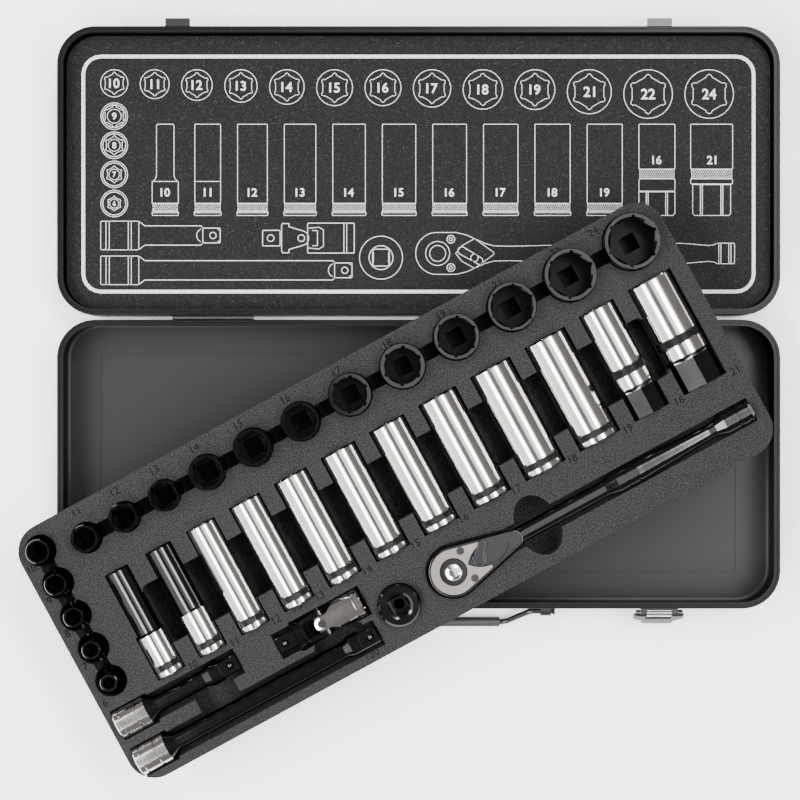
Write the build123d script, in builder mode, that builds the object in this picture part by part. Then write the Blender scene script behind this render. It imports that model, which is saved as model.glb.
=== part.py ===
from build123d import *
import math
import os

# A 3/8 inch drive socket set in a pressed steel case. The case lies open and
# flat, and its foam tray, with every tool in it, lies turned across both halves.
# Origin: centre of the base's underside. +X right, +Y from base to lid, +Z up.

# ---------------------------------------------------------------- case sizes
case_length = 408.0
case_depth = 163.0
half_height = 25.5
case_corner = 21.5
sheet = 1.0
bend_radius = 3.5
rim_width = 3.6
rim_lip = 3.0
rim_groove_inset = 1.5
rim_groove_width = 0.6
rim_groove_depth = 0.5
rim_round = 0.6
floor_groove_inset_x = 20.5
floor_groove_inset_y = 17.85
floor_groove_width = 1.3
floor_groove_depth = 0.4
floor_groove_corner = 3.0
closed_gap = 0.3
seat_gap = 0.3
turning_fit = 0.06
lever_fit = 0.09

# -------------------------------------------------------------- hinge sizes
hinge_gap = 1.3
hinge_offset = 116.0
knuckle_count = 5
knuckle_length = 9.1
knuckle_space = 0.1
knuckle_radius = 1.25
hinge_pin_radius = 0.6
hinge_pin_overhang = 1.6
leaf_thickness = 0.8
leaf_height = 12.0
leaf_clearance = 0.2

# --------------------------------------------------------------- liner sizes
liner_clearance = 0.4
liner_drop = 8.0

# ----------------------------------------------- front fittings of the case
latch_offset = 136.0
latch_tilt = 60.0
latch_pin_out = 2.9
latch_pin_below_rim = 3.0
latch_pin_radius = 1.2
latch_ear_space = 14.3
latch_ear_width = 3.2
latch_ear_radius = 2.2
latch_knuckle_radius = 2.0
latch_plate_height = 11.0
latch_width = 28.4
latch_reach = 16.4
latch_lip_width = 15.0
latch_lip_start = 11.0
latch_lip_bend = 26.0
latch_sheet = 1.2
latch_window_end = 6.6
latch_window_clearance = 0.4
catch_proud = 4.5
catch_height = 2.0
catch_above_rim = 0.75
catch_sheet = 0.8
catch_plate_height = 10.0

handle_pivot_offset = 72.6
handle_pivot_out = 2.8
handle_pivot_height = 12.0
handle_reach = 11.5
handle_wire_radius = 1.6
handle_bend_radius = 7.0
handle_straight = 64.0
handle_bow = 50.0
handle_end_length = 4.6
handle_end_head = 1.2
handle_end_radius = 2.2
grip_length = 94.0
grip_radius = 2.8
ear_width = 6.0
ear_wall = 1.2
stud_radius = 2.0
stud_head_radius = 3.6
stud_head_height = 1.4

# ---------------------------------------------------------------- tray sizes
tray_turn = 28.5
tray_x = -12.9
tray_y = -13.3
tray_thickness = 24.0
tray_corner = 15.5
tray_clearance = 0.5
tray_seat = 0.25
pocket_gap = 0.4
pocket_floor = 2.0
channel_radius = 4.2
channel_depth = 8.0
trough_floor = 3.0
trough_corner = 4.0
scoop_floor = 6.0
recess_floor = 9.0
recess_corner = 4.0

# --------------------------------------------- square drive, shared by tools
drive = 9.5
drive_fit = 0.1
drive_depth = 11.0
drive_corner_radius = 6.3
ball_radius = 2.0
ball_proud = 0.9
ball_fit = 0.08

# ------------------------------------------------------------------- sockets
# Outside diameter at the hexagon's end of each short socket, by size.
short_width = {
    6: 9.9, 7: 10.4, 8: 11.2, 9: 12.4, 10: 13.6, 11: 15.3, 12: 16.3, 13: 17.1, 14: 19.6,
    15: 21.2, 16: 21.5, 17: 23.8, 18: 25.1, 19: 25.4, 21: 27.0, 22: 29.1, 24: 31.1,
}
column_sizes = [10, 9, 8, 7, 6]
row_sizes = [11, 12, 13, 14, 15, 16, 17, 18, 19, 21, 22, 24]
# Outside diameter of each deep socket, by size.
deep_width = {
    10: 16.2, 11: 16.2, 12: 17.0, 13: 18.3, 14: 19.5, 15: 20.4, 16: 20.9, 17: 22.6, 18: 24.1, 19: 24.5,
}
# Deep sockets whose hexagon's end is turned down to a narrower barrel.
deep_neck_width = {10: 13.5, 11: 15.0}
# Spark plug sockets: outside diameter and the hexagon across their drive ends.
plug_width = {16: 20.8, 21: 25.9}
plug_hex = {16: 16.0, 21: 20.0}
plug_hex_length = {16: 15.0, 21: 16.4}

hexagon_fit = 0.15
corner_relief = 0.07
relief_wall_share = 0.6
hexagon_lead = 0.555
short_base_width = 16.8
short_base_length = 12.0
short_taper = 2.5
short_web = 3.0
short_web_ledge = 0.6
open_square_size = 11
short_chamfer = 0.7
deep_length = 64.0
deep_hexagon_depth = 16.0
deep_bore_length = 44.0
deep_shoulder = 24.5
deep_taper = 1.5
knurl_start = 3.2
knurl_width = 3.9
knurl_depth = 0.5
plug_length = 64.7
plug_collar = 9.6
plug_taper = 2.4
insert_depth = 20.0
insert_length = 12.0
insert_bore = 4.9
insert_gap = 0.05

# Where the sockets stand and lie in the tray, from the tray's centre.
column_u = -187.0
column_top_v = 63.9
column_pitch = 20.3
row_u = -161.3
row_v = 58.0
row_space = 8.2
deep_u = -155.8
deep_v = -29.6
deep_space = 9.8
stand_proud = 8.2
lying_proud = 6.0

# ------------------------------------------------------------ extension bars
bar_lengths = {75: 75.0, 150: 150.0}
bar_v = {75: -41.0, 150: -64.0}
bar_u = -195.6
bar_head_width = 17.1
bar_head_length = 18.6
bar_taper = 6.0
bar_shaft_width = 9.8
bar_end_length = 21.0
bar_end_taper = 4.0
bar_square_length = 11.0
bar_groove = 0.35
bar_groove_width = 0.9
bar_groove_places = [3.4, 12.5]
ball_from_end = 4.9

# ----------------------------------------------------------- universal joint
joint_u = -70.0
joint_v = -44.7
joint_radius = 8.5
joint_square_length = 11.5
joint_collar = 4.0
joint_fork_length = 12.5
joint_slot = 10.3
joint_arm_half = 4.0
joint_arm_gap = 0.5
joint_block_gap = 0.2
joint_pin_radius = 2.35
joint_barrel_length = 24.4
joint_barrel_slot = 7.5
joint_barrel_taper = 13.0
joint_groove_place = 19.0
joint_swing_room = 1.6

# ------------------------------------------------------------------- adaptor
adaptor_u = -28.2
adaptor_v = -56.2
adaptor_width = 23.3
adaptor_body = 13.0
adaptor_square = 12.7
adaptor_square_length = 14.0
adaptor_chamfer = 1.2
adaptor_mouth = 1.4
adaptor_hole_radius = 3.0

# ------------------------------------------------------------------- ratchet
ratchet_u = 6.6
ratchet_v = -54.1
ratchet_axis_drop = 0.5
head_radius = 13.75
head_thickness = 12.0
head_round = 1.0
neck_radius = 4.75
neck_start = 38.0
shoulder_start = 95.0
shoulder_length = 7.0
grip_end_radius = 4.2
grip_wide_radius = 6.4
grip_taper_end = 159.4
knob_start = 168.9
knob_radius = 6.65
handle_length = 185.9
ring_groove = 0.6
ring_places = [107.4, 113.7, 176.4, 182.3]
ring_width = 1.2
cover_thickness = 1.2
cover_inset = 1.1
cover_reach = 20.2
gear_radius = 8.8
gear_teeth = 36
gear_tooth_depth = 0.7
gear_gap = 0.2
gear_half_height = 3.9
hub_radius = 7.6
button_radius = 4.9
button_stem = 2.4
button_head = 2.6
button_travel = 2.0
button_fit = 0.05
square_reach = 11.0
lever_pivot = 15.3
lever_angle = 48.0
lever_hub_radius = 3.4
lever_shaft_radius = 2.0
lever_arm = 10.5
lever_arm_width = 4.4
leaf_half_length = 13.0
leaf_half_width = 6.4
leaf_depth = 3.0
screw_x = 8.7
screw_y = 8.4
screw_head_radius = 2.1
screw_shank_radius = 1.1
scoop_u = 59.6
scoop_length = 24.4
scoop_width = 34.8
ratchet_pocket_gap = 1.5

# ----------------------------------------------------- values that follow on
front_y = -case_depth / 2
hinge_y = case_depth / 2 + hinge_gap
hinge_z = half_height + closed_gap / 2
lid_y = hinge_y + hinge_gap + case_depth / 2
lid_front_y = lid_y + case_depth / 2
hinge_length = knuckle_count * knuckle_length
drive_hole = drive + drive_fit
rim_open_length = case_length - 2 * rim_width
rim_open_depth = case_depth - 2 * rim_width
rim_open_corner = case_corner - rim_width
tray_length = rim_open_length - 2 * tray_clearance
tray_width = rim_open_depth - 2 * tray_clearance
tray_bottom = hinge_z + knuckle_radius + tray_seat
tray_slope = math.radians(tray_turn)
tray_plane = Plane(
    origin=(tray_x, tray_y, tray_bottom),
    x_dir=(math.cos(tray_slope), math.sin(tray_slope), 0),
    z_dir=(0, 0, 1),
)
parts = {}


def finish(name, part, label):
    """Label a finished piece and keep it for export under its node's name."""
    part.part.label = label
    parts[name] = part.part


def upright(u, v, w):
    """A plane at a place in the tray, its Z axis up."""
    spot = tray_plane.from_local_coords(Vector(u, v, w))
    return Plane(origin=spot, x_dir=tray_plane.x_dir, z_dir=tray_plane.z_dir)


def lying(u, v, w, along):
    """A plane at a place in the tray, its Z axis along the tool and its X axis up."""
    spot = tray_plane.from_local_coords(Vector(u, v, w))
    return Plane(origin=spot, x_dir=tray_plane.z_dir, z_dir=along)


def turn(plane, points, mode=Mode.ADD):
    """Turn an outline of (radius, height) points about the plane's Z axis."""
    side = Plane(origin=plane.origin, x_dir=plane.x_dir, z_dir=-plane.y_dir)
    with BuildSketch(side) as outline:
        with BuildLine():
            Polyline(*points, close=True)
        make_face()
    revolve(outline.sketch, axis=Axis(plane.origin, plane.z_dir), mode=mode)


def disc(plane, radius, low, high, mode=Mode.ADD):
    """A round bar on the plane's Z axis between two heights."""
    with BuildSketch(plane.offset(low)) as outline:
        Circle(radius)
    extrude(outline.sketch, amount=high - low, mode=mode)


def square_bar(plane, side, low, high, mode=Mode.ADD):
    """A square bar on the plane's Z axis between two heights."""
    with BuildSketch(plane.offset(low)) as outline:
        Rectangle(side, side)
    extrude(outline.sketch, amount=high - low, mode=mode)


def drive_square(plane, side, corner_radius, low, high):
    """A drive square whose corners are turned off, between two heights."""
    with BuildSketch(plane.offset(low)) as outline:
        Rectangle(side, side)
        Circle(corner_radius, mode=Mode.INTERSECT)
    extrude(outline.sketch, amount=high - low)


def hexagon(plane, across, low, high, mode=Mode.ADD):
    """A plain hexagonal bar on the plane's Z axis between two heights."""
    with BuildSketch(plane.offset(low)) as outline:
        RegularPolygon(across / 2, 6, major_radius=False)
    extrude(outline.sketch, amount=high - low, mode=mode)


def hexagon_mouth(plane, size, outer_radius, low, high):
    """Cut a socket's hexagon, with a round relief in each corner that its wall allows."""
    across = size + hexagon_fit
    corner = across / math.sqrt(3)
    relief = min(corner_relief * size, relief_wall_share * (outer_radius - corner))
    with BuildSketch(plane.offset(low)) as outline:
        RegularPolygon(across / 2, 6, major_radius=False)
        with PolarLocations(corner - relief / 2, 6):
            Circle(relief)
    extrude(outline.sketch, amount=high - low, mode=Mode.SUBTRACT)


def cut_drive(plane, depth):
    """Cut the square drive hole and its lead-in from the plane upward."""
    square_bar(plane, drive_hole, 0, depth, mode=Mode.SUBTRACT)
    mouth = drive_hole * 0.72
    turn(plane, [(0, 0), (mouth, 0), (0, mouth)], mode=Mode.SUBTRACT)


def trench(plane, radius, low, high):
    """Cut a round-bottomed pocket, open upward, along the plane's Z axis."""
    with BuildSketch(plane.offset(low)) as outline:
        Circle(radius)
        Rectangle(2 * tray_thickness, 2 * radius, align=(Align.MIN, Align.CENTER))
    extrude(outline.sketch, amount=high - low, mode=Mode.SUBTRACT)


def recess(plane, size_u, size_v, corner, floor):
    """Cut a recess with rounded corners from the tray's top down to a floor."""
    with BuildSketch(plane.offset(floor)) as outline:
        RectangleRounded(size_u, size_v, corner)
    extrude(outline.sketch, amount=tray_thickness, mode=Mode.SUBTRACT)


def ball_seat(plane, out):
    """Cut a ball's seat in a side face that lies out along the plane's X axis."""
    side = Plane(origin=plane.origin, x_dir=plane.z_dir, z_dir=plane.x_dir)
    seat_bottom = out + ball_proud - 2 * ball_radius - ball_fit
    disc(side, ball_radius + ball_fit, seat_bottom, out + 1, mode=Mode.SUBTRACT)


def detent_ball(plane, out):
    """The spring ball that sits in a drive square's side face."""
    with Locations(Plane(origin=plane.origin + plane.x_dir * (out + ball_proud - ball_radius))):
        Sphere(ball_radius)


# ------------------------------------------------------------- case and lid
def press_half(half, plane):
    """One pressed half of the case: floor, walls, folded rim and its groove."""
    with BuildSketch(plane) as outline:
        RectangleRounded(case_length, case_depth, case_corner)
    extrude(outline.sketch, amount=half_height)
    fillet(half.faces().sort_by(Axis.Z)[0].edges(), bend_radius)
    fillet(half.faces().sort_by(Axis.Z)[-1].edges(), rim_round)
    hollow_length = case_length - 2 * sheet
    hollow_depth = case_depth - 2 * sheet
    with BuildSketch(plane.offset(sheet)) as hollow:
        RectangleRounded(hollow_length, hollow_depth, case_corner - sheet)
    inner = extrude(hollow.sketch, amount=half_height - 2 * sheet, mode=Mode.PRIVATE)
    inner = inner.fillet(bend_radius - sheet, inner.faces().sort_by(Axis.Z)[0].edges())
    add(inner, mode=Mode.SUBTRACT)
    with BuildSketch(plane.offset(half_height - sheet)) as opening:
        RectangleRounded(rim_open_length, rim_open_depth, rim_open_corner)
    extrude(opening.sketch, amount=sheet, mode=Mode.SUBTRACT)
    with BuildSketch(plane.offset(half_height - rim_lip)) as lip:
        RectangleRounded(rim_open_length + 2 * sheet, rim_open_depth + 2 * sheet, rim_open_corner + sheet)
        RectangleRounded(rim_open_length, rim_open_depth, rim_open_corner, mode=Mode.SUBTRACT)
    extrude(lip.sketch, amount=rim_lip - sheet / 2)
    outside = 2 * rim_groove_inset
    inside = 2 * (rim_groove_inset + rim_groove_width)
    with BuildSketch(plane.offset(half_height - rim_groove_depth)) as groove:
        RectangleRounded(case_length - outside, case_depth - outside, case_corner - outside / 2)
        RectangleRounded(case_length - inside, case_depth - inside, case_corner - inside / 2, mode=Mode.SUBTRACT)
    extrude(groove.sketch, amount=rim_groove_depth, mode=Mode.SUBTRACT)


with BuildPart() as case_base:
    press_half(case_base, Plane.XY)
    groove_length = case_length - 2 * floor_groove_inset_x
    groove_depth = case_depth - 2 * floor_groove_inset_y
    with BuildSketch(Plane.XY.offset(sheet - floor_groove_depth)):
        RectangleRounded(groove_length, groove_depth, floor_groove_corner)
        RectangleRounded(
            groove_length - 2 * floor_groove_width,
            groove_depth - 2 * floor_groove_width,
            floor_groove_corner - floor_groove_width,
            mode=Mode.SUBTRACT,
        )
    extrude(amount=floor_groove_depth, mode=Mode.SUBTRACT)
    for side in (-1, 1):
        stud_plane = Plane(
            origin=(side * handle_pivot_offset, front_y, handle_pivot_height),
            x_dir=(1, 0, 0),
            z_dir=(0, 1, 0),
        )
        disc(stud_plane, stud_radius + turning_fit, -sheet, 2 * sheet, mode=Mode.SUBTRACT)
finish("case_base", case_base, "case base")

with BuildPart() as case_lid:
    press_half(case_lid, Plane(origin=(0, lid_y, 0)))
finish("case_lid", case_lid, "case lid")

with BuildPart() as lid_liner:
    with BuildSketch(Plane(origin=(0, lid_y, sheet + seat_gap))):
        RectangleRounded(
            rim_open_length - 2 * liner_clearance,
            rim_open_depth - 2 * liner_clearance,
            rim_open_corner - liner_clearance,
        )
    extrude(amount=half_height - liner_drop - sheet - seat_gap)
    fillet(lid_liner.faces().sort_by(Axis.Z)[0].edges(), bend_radius)
finish("lid_liner", lid_liner, "lid liner")


# ------------------------------------------------------------------- hinges
def hinge_leaf(centre_x, toward, knuckles):
    """One leaf on a back wall, with the knuckles that it curls round the pin."""
    wall_y = hinge_y + toward * hinge_gap
    inner_y = wall_y - toward * leaf_thickness
    low_top = hinge_z - knuckle_radius - leaf_clearance
    left = centre_x - hinge_length / 2
    for place in range(knuckle_count):
        start = left + place * knuckle_length
        owns = place in knuckles
        top = hinge_z if owns else low_top
        with BuildSketch(Plane.XY.offset(hinge_z - leaf_height)) as strip:
            with Locations((start + knuckle_length / 2, (wall_y + inner_y) / 2)):
                Rectangle(knuckle_length, leaf_thickness)
        extrude(strip.sketch, amount=low_top - hinge_z + leaf_height)
        if owns:
            with BuildSketch(Plane.XY.offset(low_top - leaf_clearance)) as strap:
                with Locations((start + knuckle_length / 2, (wall_y + inner_y) / 2)):
                    Rectangle(knuckle_length - 2 * knuckle_space, leaf_thickness)
            extrude(strap.sketch, amount=top - low_top + leaf_clearance)
            barrel = Plane(origin=(start, hinge_y, hinge_z), x_dir=(0, 1, 0), z_dir=(1, 0, 0))
            disc(barrel, knuckle_radius, knuckle_space, knuckle_length - knuckle_space)
    bore = Plane(origin=(left, hinge_y, hinge_z), x_dir=(0, 1, 0), z_dir=(1, 0, 0))
    disc(bore, hinge_pin_radius + turning_fit, 0, hinge_length, mode=Mode.SUBTRACT)


lid_knuckles = [place for place in range(knuckle_count) if place % 2 == 0]
base_knuckles = [place for place in range(knuckle_count) if place % 2 == 1]

with BuildPart() as base_hinge_leaves:
    for side in (-1, 1):
        hinge_leaf(side * hinge_offset, -1, base_knuckles)
finish("base_hinge_leaves", base_hinge_leaves, "base hinge leaves")

with BuildPart() as lid_hinge_leaves:
    for side in (-1, 1):
        hinge_leaf(side * hinge_offset, 1, lid_knuckles)
finish("lid_hinge_leaves", lid_hinge_leaves, "lid hinge leaves")

with BuildPart() as hinge_pins:
    for side in (-1, 1):
        left = side * hinge_offset - hinge_length / 2 - hinge_pin_overhang
        pin_line = Plane(origin=(left, hinge_y, hinge_z), x_dir=(0, 1, 0), z_dir=(1, 0, 0))
        disc(pin_line, hinge_pin_radius, 0, hinge_length + hinge_pin_overhang)
        disc(pin_line, knuckle_radius * 0.8, 0, hinge_pin_overhang - knuckle_space)
finish("hinge_pins", hinge_pins, "hinge pins")

# ------------------------------------------------------------------ latches
latch_pin_y = front_y - latch_pin_out
latch_pin_z = half_height - latch_pin_below_rim
latch_ear_middle = (latch_ear_space + latch_ear_width) / 2
latch_ear_outer = latch_ear_space / 2 + latch_ear_width
latch_slope = math.radians(latch_tilt)
latch_knuckle_inner = latch_ear_outer + latch_window_clearance
latch_knuckle_length = 2.4

with BuildPart() as latch_brackets:
    for side in (-1, 1):
        centre_x = side * latch_offset
        with BuildSketch(Plane.XY.offset(latch_pin_z + latch_ear_radius - latch_plate_height)):
            with Locations((centre_x, front_y - sheet / 2)):
                Rectangle(2 * latch_ear_outer, sheet)
        extrude(amount=latch_plate_height)
        for ear in (-1, 1):
            ear_plane = Plane(
                origin=(centre_x + ear * latch_ear_middle - latch_ear_width / 2, latch_pin_y, latch_pin_z),
                x_dir=(0, 1, 0),
                z_dir=(1, 0, 0),
            )
            with BuildSketch(ear_plane):
                Circle(latch_ear_radius)
                Rectangle(latch_pin_out - sheet / 2, 2 * latch_ear_radius, align=(Align.MIN, Align.CENTER))
                Circle(latch_pin_radius + turning_fit, mode=Mode.SUBTRACT)
            extrude(amount=latch_ear_width)
finish("latch_brackets", latch_brackets, "latch brackets")

with BuildPart() as latch_pins:
    for side in (-1, 1):
        half_pin = latch_knuckle_inner + latch_knuckle_length
        pin_line = Plane(
            origin=(side * latch_offset - half_pin, latch_pin_y, latch_pin_z),
            x_dir=(0, 1, 0),
            z_dir=(1, 0, 0),
        )
        disc(pin_line, latch_pin_radius, 0, 2 * half_pin)
finish("latch_pins", latch_pins, "latch pins")


def latch_lever(latch, centre_x):
    """A sprung steel lever: its lip bends outward and its window drops over a catch."""
    rest = Plane(
        origin=(centre_x, latch_pin_y, latch_pin_z),
        x_dir=(1, 0, 0),
        z_dir=(0, math.sin(latch_slope), -math.cos(latch_slope)),
    )
    profile_plane = Plane(
        origin=rest.origin - rest.x_dir * (latch_width / 2),
        x_dir=rest.y_dir,
        z_dir=rest.x_dir,
    )
    bend = math.radians(latch_lip_bend)
    lip_length = latch_reach - latch_lip_start
    with BuildSketch(profile_plane) as profile:
        with BuildLine():
            straight = Line((0, 0), (latch_lip_start, 0))
            end = (latch_reach, lip_length * math.tan(bend) / 2)
            TangentArc(straight @ 1, end, tangent=(1, 0))
        trace(line_width=latch_sheet)
    extrude(profile.sketch, amount=latch_width)
    shoulder = latch_lip_start - 1.0
    with BuildSketch(rest.offset(-latch_reach)) as plan:
        with BuildLine():
            Polyline(
                (-latch_width / 2, -latch_knuckle_radius),
                (latch_width / 2, -latch_knuckle_radius),
                (latch_width / 2, shoulder - 4.0),
                (latch_lip_width / 2 + 1.5, shoulder),
                (latch_lip_width / 2, latch_reach + 1.0),
                (-latch_lip_width / 2, latch_reach + 1.0),
                (-latch_lip_width / 2 - 1.5, shoulder),
                (-latch_width / 2, shoulder - 4.0),
                close=True,
            )
        make_face()
        fillet(plan.vertices().sort_by(Axis.Y)[-6:], 1.4)
    extrude(plan.sketch, amount=2 * latch_reach, mode=Mode.INTERSECT)
    for side in (-1, 1):
        knuckle = Plane(
            origin=rest.origin + rest.x_dir * (side * (latch_knuckle_inner + latch_knuckle_length / 2)),
            x_dir=rest.y_dir,
            z_dir=rest.x_dir,
        )
        disc(knuckle, latch_knuckle_radius, -latch_knuckle_length / 2, latch_knuckle_length / 2)
    window_half = latch_ear_space / 2 + latch_window_clearance / 2
    with BuildSketch(rest.offset(-latch_reach)) as window:
        with Locations((0, -latch_reach)):
            Rectangle(2 * latch_knuckle_inner, latch_reach + latch_ear_radius + 1.0, align=(Align.CENTER, Align.MIN))
            Rectangle(2 * window_half, latch_reach + latch_window_end, align=(Align.CENTER, Align.MIN))
    extrude(window.sketch, amount=2 * latch_reach, mode=Mode.SUBTRACT)
    bore = Plane(origin=rest.origin, x_dir=rest.y_dir, z_dir=rest.x_dir)
    disc(bore, latch_pin_radius + lever_fit, -latch_width, latch_width, mode=Mode.SUBTRACT)


for name, side in (("latch_left", -1), ("latch_right", 1)):
    with BuildPart() as latch:
        latch_lever(latch, side * latch_offset)
    finish(name, latch, name.replace("_", " "))

# The catch is set out for the closed case and mirrored about the hinge's height.
catch_width = latch_ear_space - latch_window_clearance
catch_top = 2 * hinge_z - (hinge_z + catch_above_rim)
with BuildPart() as lid_catches:
    for side in (-1, 1):
        with BuildSketch(Plane.XY.offset(catch_top - catch_plate_height)):
            with Locations((side * latch_offset, lid_front_y + catch_sheet / 2)):
                Rectangle(catch_width, catch_sheet)
        extrude(amount=catch_plate_height)
        with BuildSketch(Plane.XY.offset(catch_top - catch_height)):
            with Locations((side * latch_offset, lid_front_y + catch_proud / 2)):
                RectangleRounded(catch_width, catch_proud, catch_sheet / 2)
        extrude(amount=catch_height)
finish("lid_catches", lid_catches, "lid catches")

# ------------------------------------------------------------------- handle
pivot_y = front_y - handle_pivot_out
handle_drop = handle_pivot_height - grip_radius - seat_gap
handle_slope = math.asin(handle_drop / handle_reach)
bail_plane = Plane(
    origin=(0, pivot_y, handle_pivot_height),
    x_dir=(1, 0, 0),
    z_dir=(0, -math.sin(handle_slope), math.cos(handle_slope)),
)
ear_radius = handle_wire_radius + ear_wall

with BuildPart() as handle_brackets:
    for side in (-1, 1):
        centre_x = side * handle_pivot_offset
        outward = Plane(
            origin=(centre_x, front_y, handle_pivot_height),
            x_dir=(1, 0, 0),
            z_dir=(0, -1, 0),
        )
        disc(outward, stud_head_radius, 0, sheet / 2)
        ear_plane = Plane(
            origin=(centre_x - ear_width / 2, pivot_y, handle_pivot_height),
            x_dir=(0, 1, 0),
            z_dir=(1, 0, 0),
        )
        with BuildSketch(ear_plane):
            Circle(ear_radius)
            Rectangle(handle_pivot_out, 2 * ear_radius, align=(Align.MIN, Align.CENTER))
        extrude(amount=ear_width)
        disc(outward, stud_radius, -sheet, 0)
        inward = Plane(origin=(centre_x, front_y + sheet, handle_pivot_height), x_dir=(1, 0, 0), z_dir=(0, 1, 0))
        rivet_outline = [
            (0, 0),
            (stud_head_radius, 0),
            (stud_head_radius * 0.9, stud_head_height * 0.5),
            (stud_head_radius * 0.55, stud_head_height),
            (0, stud_head_height),
        ]
        turn(inward, rivet_outline)
        disc(ear_plane, handle_wire_radius + turning_fit, 0, ear_width, mode=Mode.SUBTRACT)
finish("handle_brackets", handle_brackets, "handle brackets")

handle_end = handle_pivot_offset + ear_width / 2 + handle_end_length / 2
with BuildPart() as handle_bail:
    with BuildLine(bail_plane) as bail_path:
        FilletPolyline(
            (-handle_end, 0),
            (-handle_straight, 0),
            (-handle_bow, -handle_reach),
            (handle_bow, -handle_reach),
            (handle_straight, 0),
            (handle_end, 0),
            radius=handle_bend_radius,
        )
    start = Plane(
        origin=bail_plane.from_local_coords(Vector(-handle_end, 0, 0)),
        x_dir=bail_plane.y_dir,
        z_dir=bail_plane.x_dir,
    )
    with BuildSketch(start):
        Circle(handle_wire_radius)
    sweep()
    disc(start, handle_end_radius, 0, handle_end_head)
    disc(start, handle_end_radius, 2 * handle_end - handle_end_head, 2 * handle_end)
finish("handle_bail", handle_bail, "handle bail")

with BuildPart() as handle_grip:
    grip_plane = Plane(
        origin=bail_plane.from_local_coords(Vector(-grip_length / 2, -handle_reach, 0)),
        x_dir=bail_plane.y_dir,
        z_dir=bail_plane.x_dir,
    )
    disc(grip_plane, grip_radius, 0, grip_length)
    fillet(handle_grip.edges(), grip_radius * 0.3)
    disc(grip_plane, handle_wire_radius + turning_fit, 0, grip_length, mode=Mode.SUBTRACT)
finish("handle_grip", handle_grip, "handle grip")


# ------------------------------------------------------------ short sockets
def short_length(size):
    """Length of a short socket, which grows with its size."""
    return 26.0 if size < 14 else 28.0 if size < 19 else 30.0


def short_foot_radius(size):
    """Radius of a short socket's drive end, which also fits its pocket."""
    return max(short_base_width, short_width[size]) / 2


def short_floor(size):
    """Height of the pocket's floor above the tray's underside."""
    return tray_thickness + stand_proud - short_length(size) - seat_gap


def short_places():
    """Every short socket's size with its place in the tray."""
    places = {}
    for index, size in enumerate(column_sizes):
        places[size] = (column_u, column_top_v - index * column_pitch)
    u = row_u
    before = row_sizes[0]
    for size in row_sizes:
        if size != before:
            u += (short_width[before] + short_width[size]) / 2 + row_space
        places[size] = (u, row_v)
        before = size
    return places


short_spots = short_places()

for size, (u, v) in short_spots.items():
    foot = upright(u, v, short_floor(size) + seat_gap)
    length = short_length(size)
    base_radius = short_foot_radius(size)
    top_radius = short_width[size] / 2
    taper_end = short_base_length + (short_taper if top_radius < base_radius else 0)
    with BuildPart() as short_socket:
        turn(
            foot,
            [
                (0, 0),
                (base_radius - short_chamfer, 0),
                (base_radius, short_chamfer),
                (base_radius, short_base_length),
                (top_radius, taper_end + 0.2),
                (top_radius, length - short_chamfer),
                (top_radius - short_chamfer * 0.6, length),
                (0, length),
            ],
        )
        cut_drive(foot, drive_depth)
        hexagon_mouth(foot, size, top_radius, drive_depth + short_web, length)
        if size < open_square_size:
            through = size / 2 - short_web_ledge
            disc(foot, through, drive_depth - 1, drive_depth + short_web + 1, mode=Mode.SUBTRACT)
        else:
            square_bar(foot, drive_hole, 0, drive_depth + short_web + 1, mode=Mode.SUBTRACT)
        lead = size * hexagon_lead
        turn(foot, [(0, length), (lead, length), (0, length - lead)], mode=Mode.SUBTRACT)
    finish(f"socket_{size:02d}", short_socket, f"socket {size}")


# ------------------------------------------------------------- deep sockets
def lying_axis(width):
    """Height of a lying tool's axis above the tray's underside."""
    return tray_thickness + lying_proud - width / 2


def deep_places():
    """Every deep and plug socket's place along the tray."""
    places = {}
    u = deep_u
    before = None
    widths = [("deep", size, deep_width[size]) for size in deep_width]
    widths += [("plug", size, plug_width[size]) for size in plug_width]
    for kind, size, width in widths:
        if before is not None:
            u += (before + width) / 2 + deep_space
        places[(kind, size)] = u
        before = width
    return places


deep_spots = deep_places()

for size, width in deep_width.items():
    foot = lying(deep_spots[("deep", size)], deep_v, lying_axis(width), tray_plane.y_dir)
    radius = width / 2
    mouth_radius = deep_neck_width.get(size, width) / 2
    outline = [
        (0, 0),
        (radius - short_chamfer, 0),
        (radius, short_chamfer),
        (radius, knurl_start),
        (radius - knurl_depth, knurl_start + 0.2),
        (radius - knurl_depth, knurl_start + knurl_width - 0.2),
        (radius, knurl_start + knurl_width),
    ]
    if size in deep_neck_width:
        outline += [(radius, deep_shoulder), (mouth_radius, deep_shoulder + deep_taper)]
    outline += [
        (mouth_radius, deep_length - short_chamfer),
        (mouth_radius - short_chamfer * 0.8, deep_length),
        (0, deep_length),
    ]
    with BuildPart() as deep_socket:
        turn(foot, outline)
        cut_drive(foot, drive_depth)
        hexagon_mouth(foot, size, mouth_radius, deep_length - deep_hexagon_depth, deep_length)
        clearance_bore = size / 2 - 0.3
        disc(foot, clearance_bore, deep_length - deep_bore_length, deep_length - 1, mode=Mode.SUBTRACT)
        lead = size * hexagon_lead
        turn(foot, [(0, deep_length), (lead, deep_length), (0, deep_length - lead)], mode=Mode.SUBTRACT)
    finish(f"deep_socket_{size}", deep_socket, f"deep socket {size}")

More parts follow.
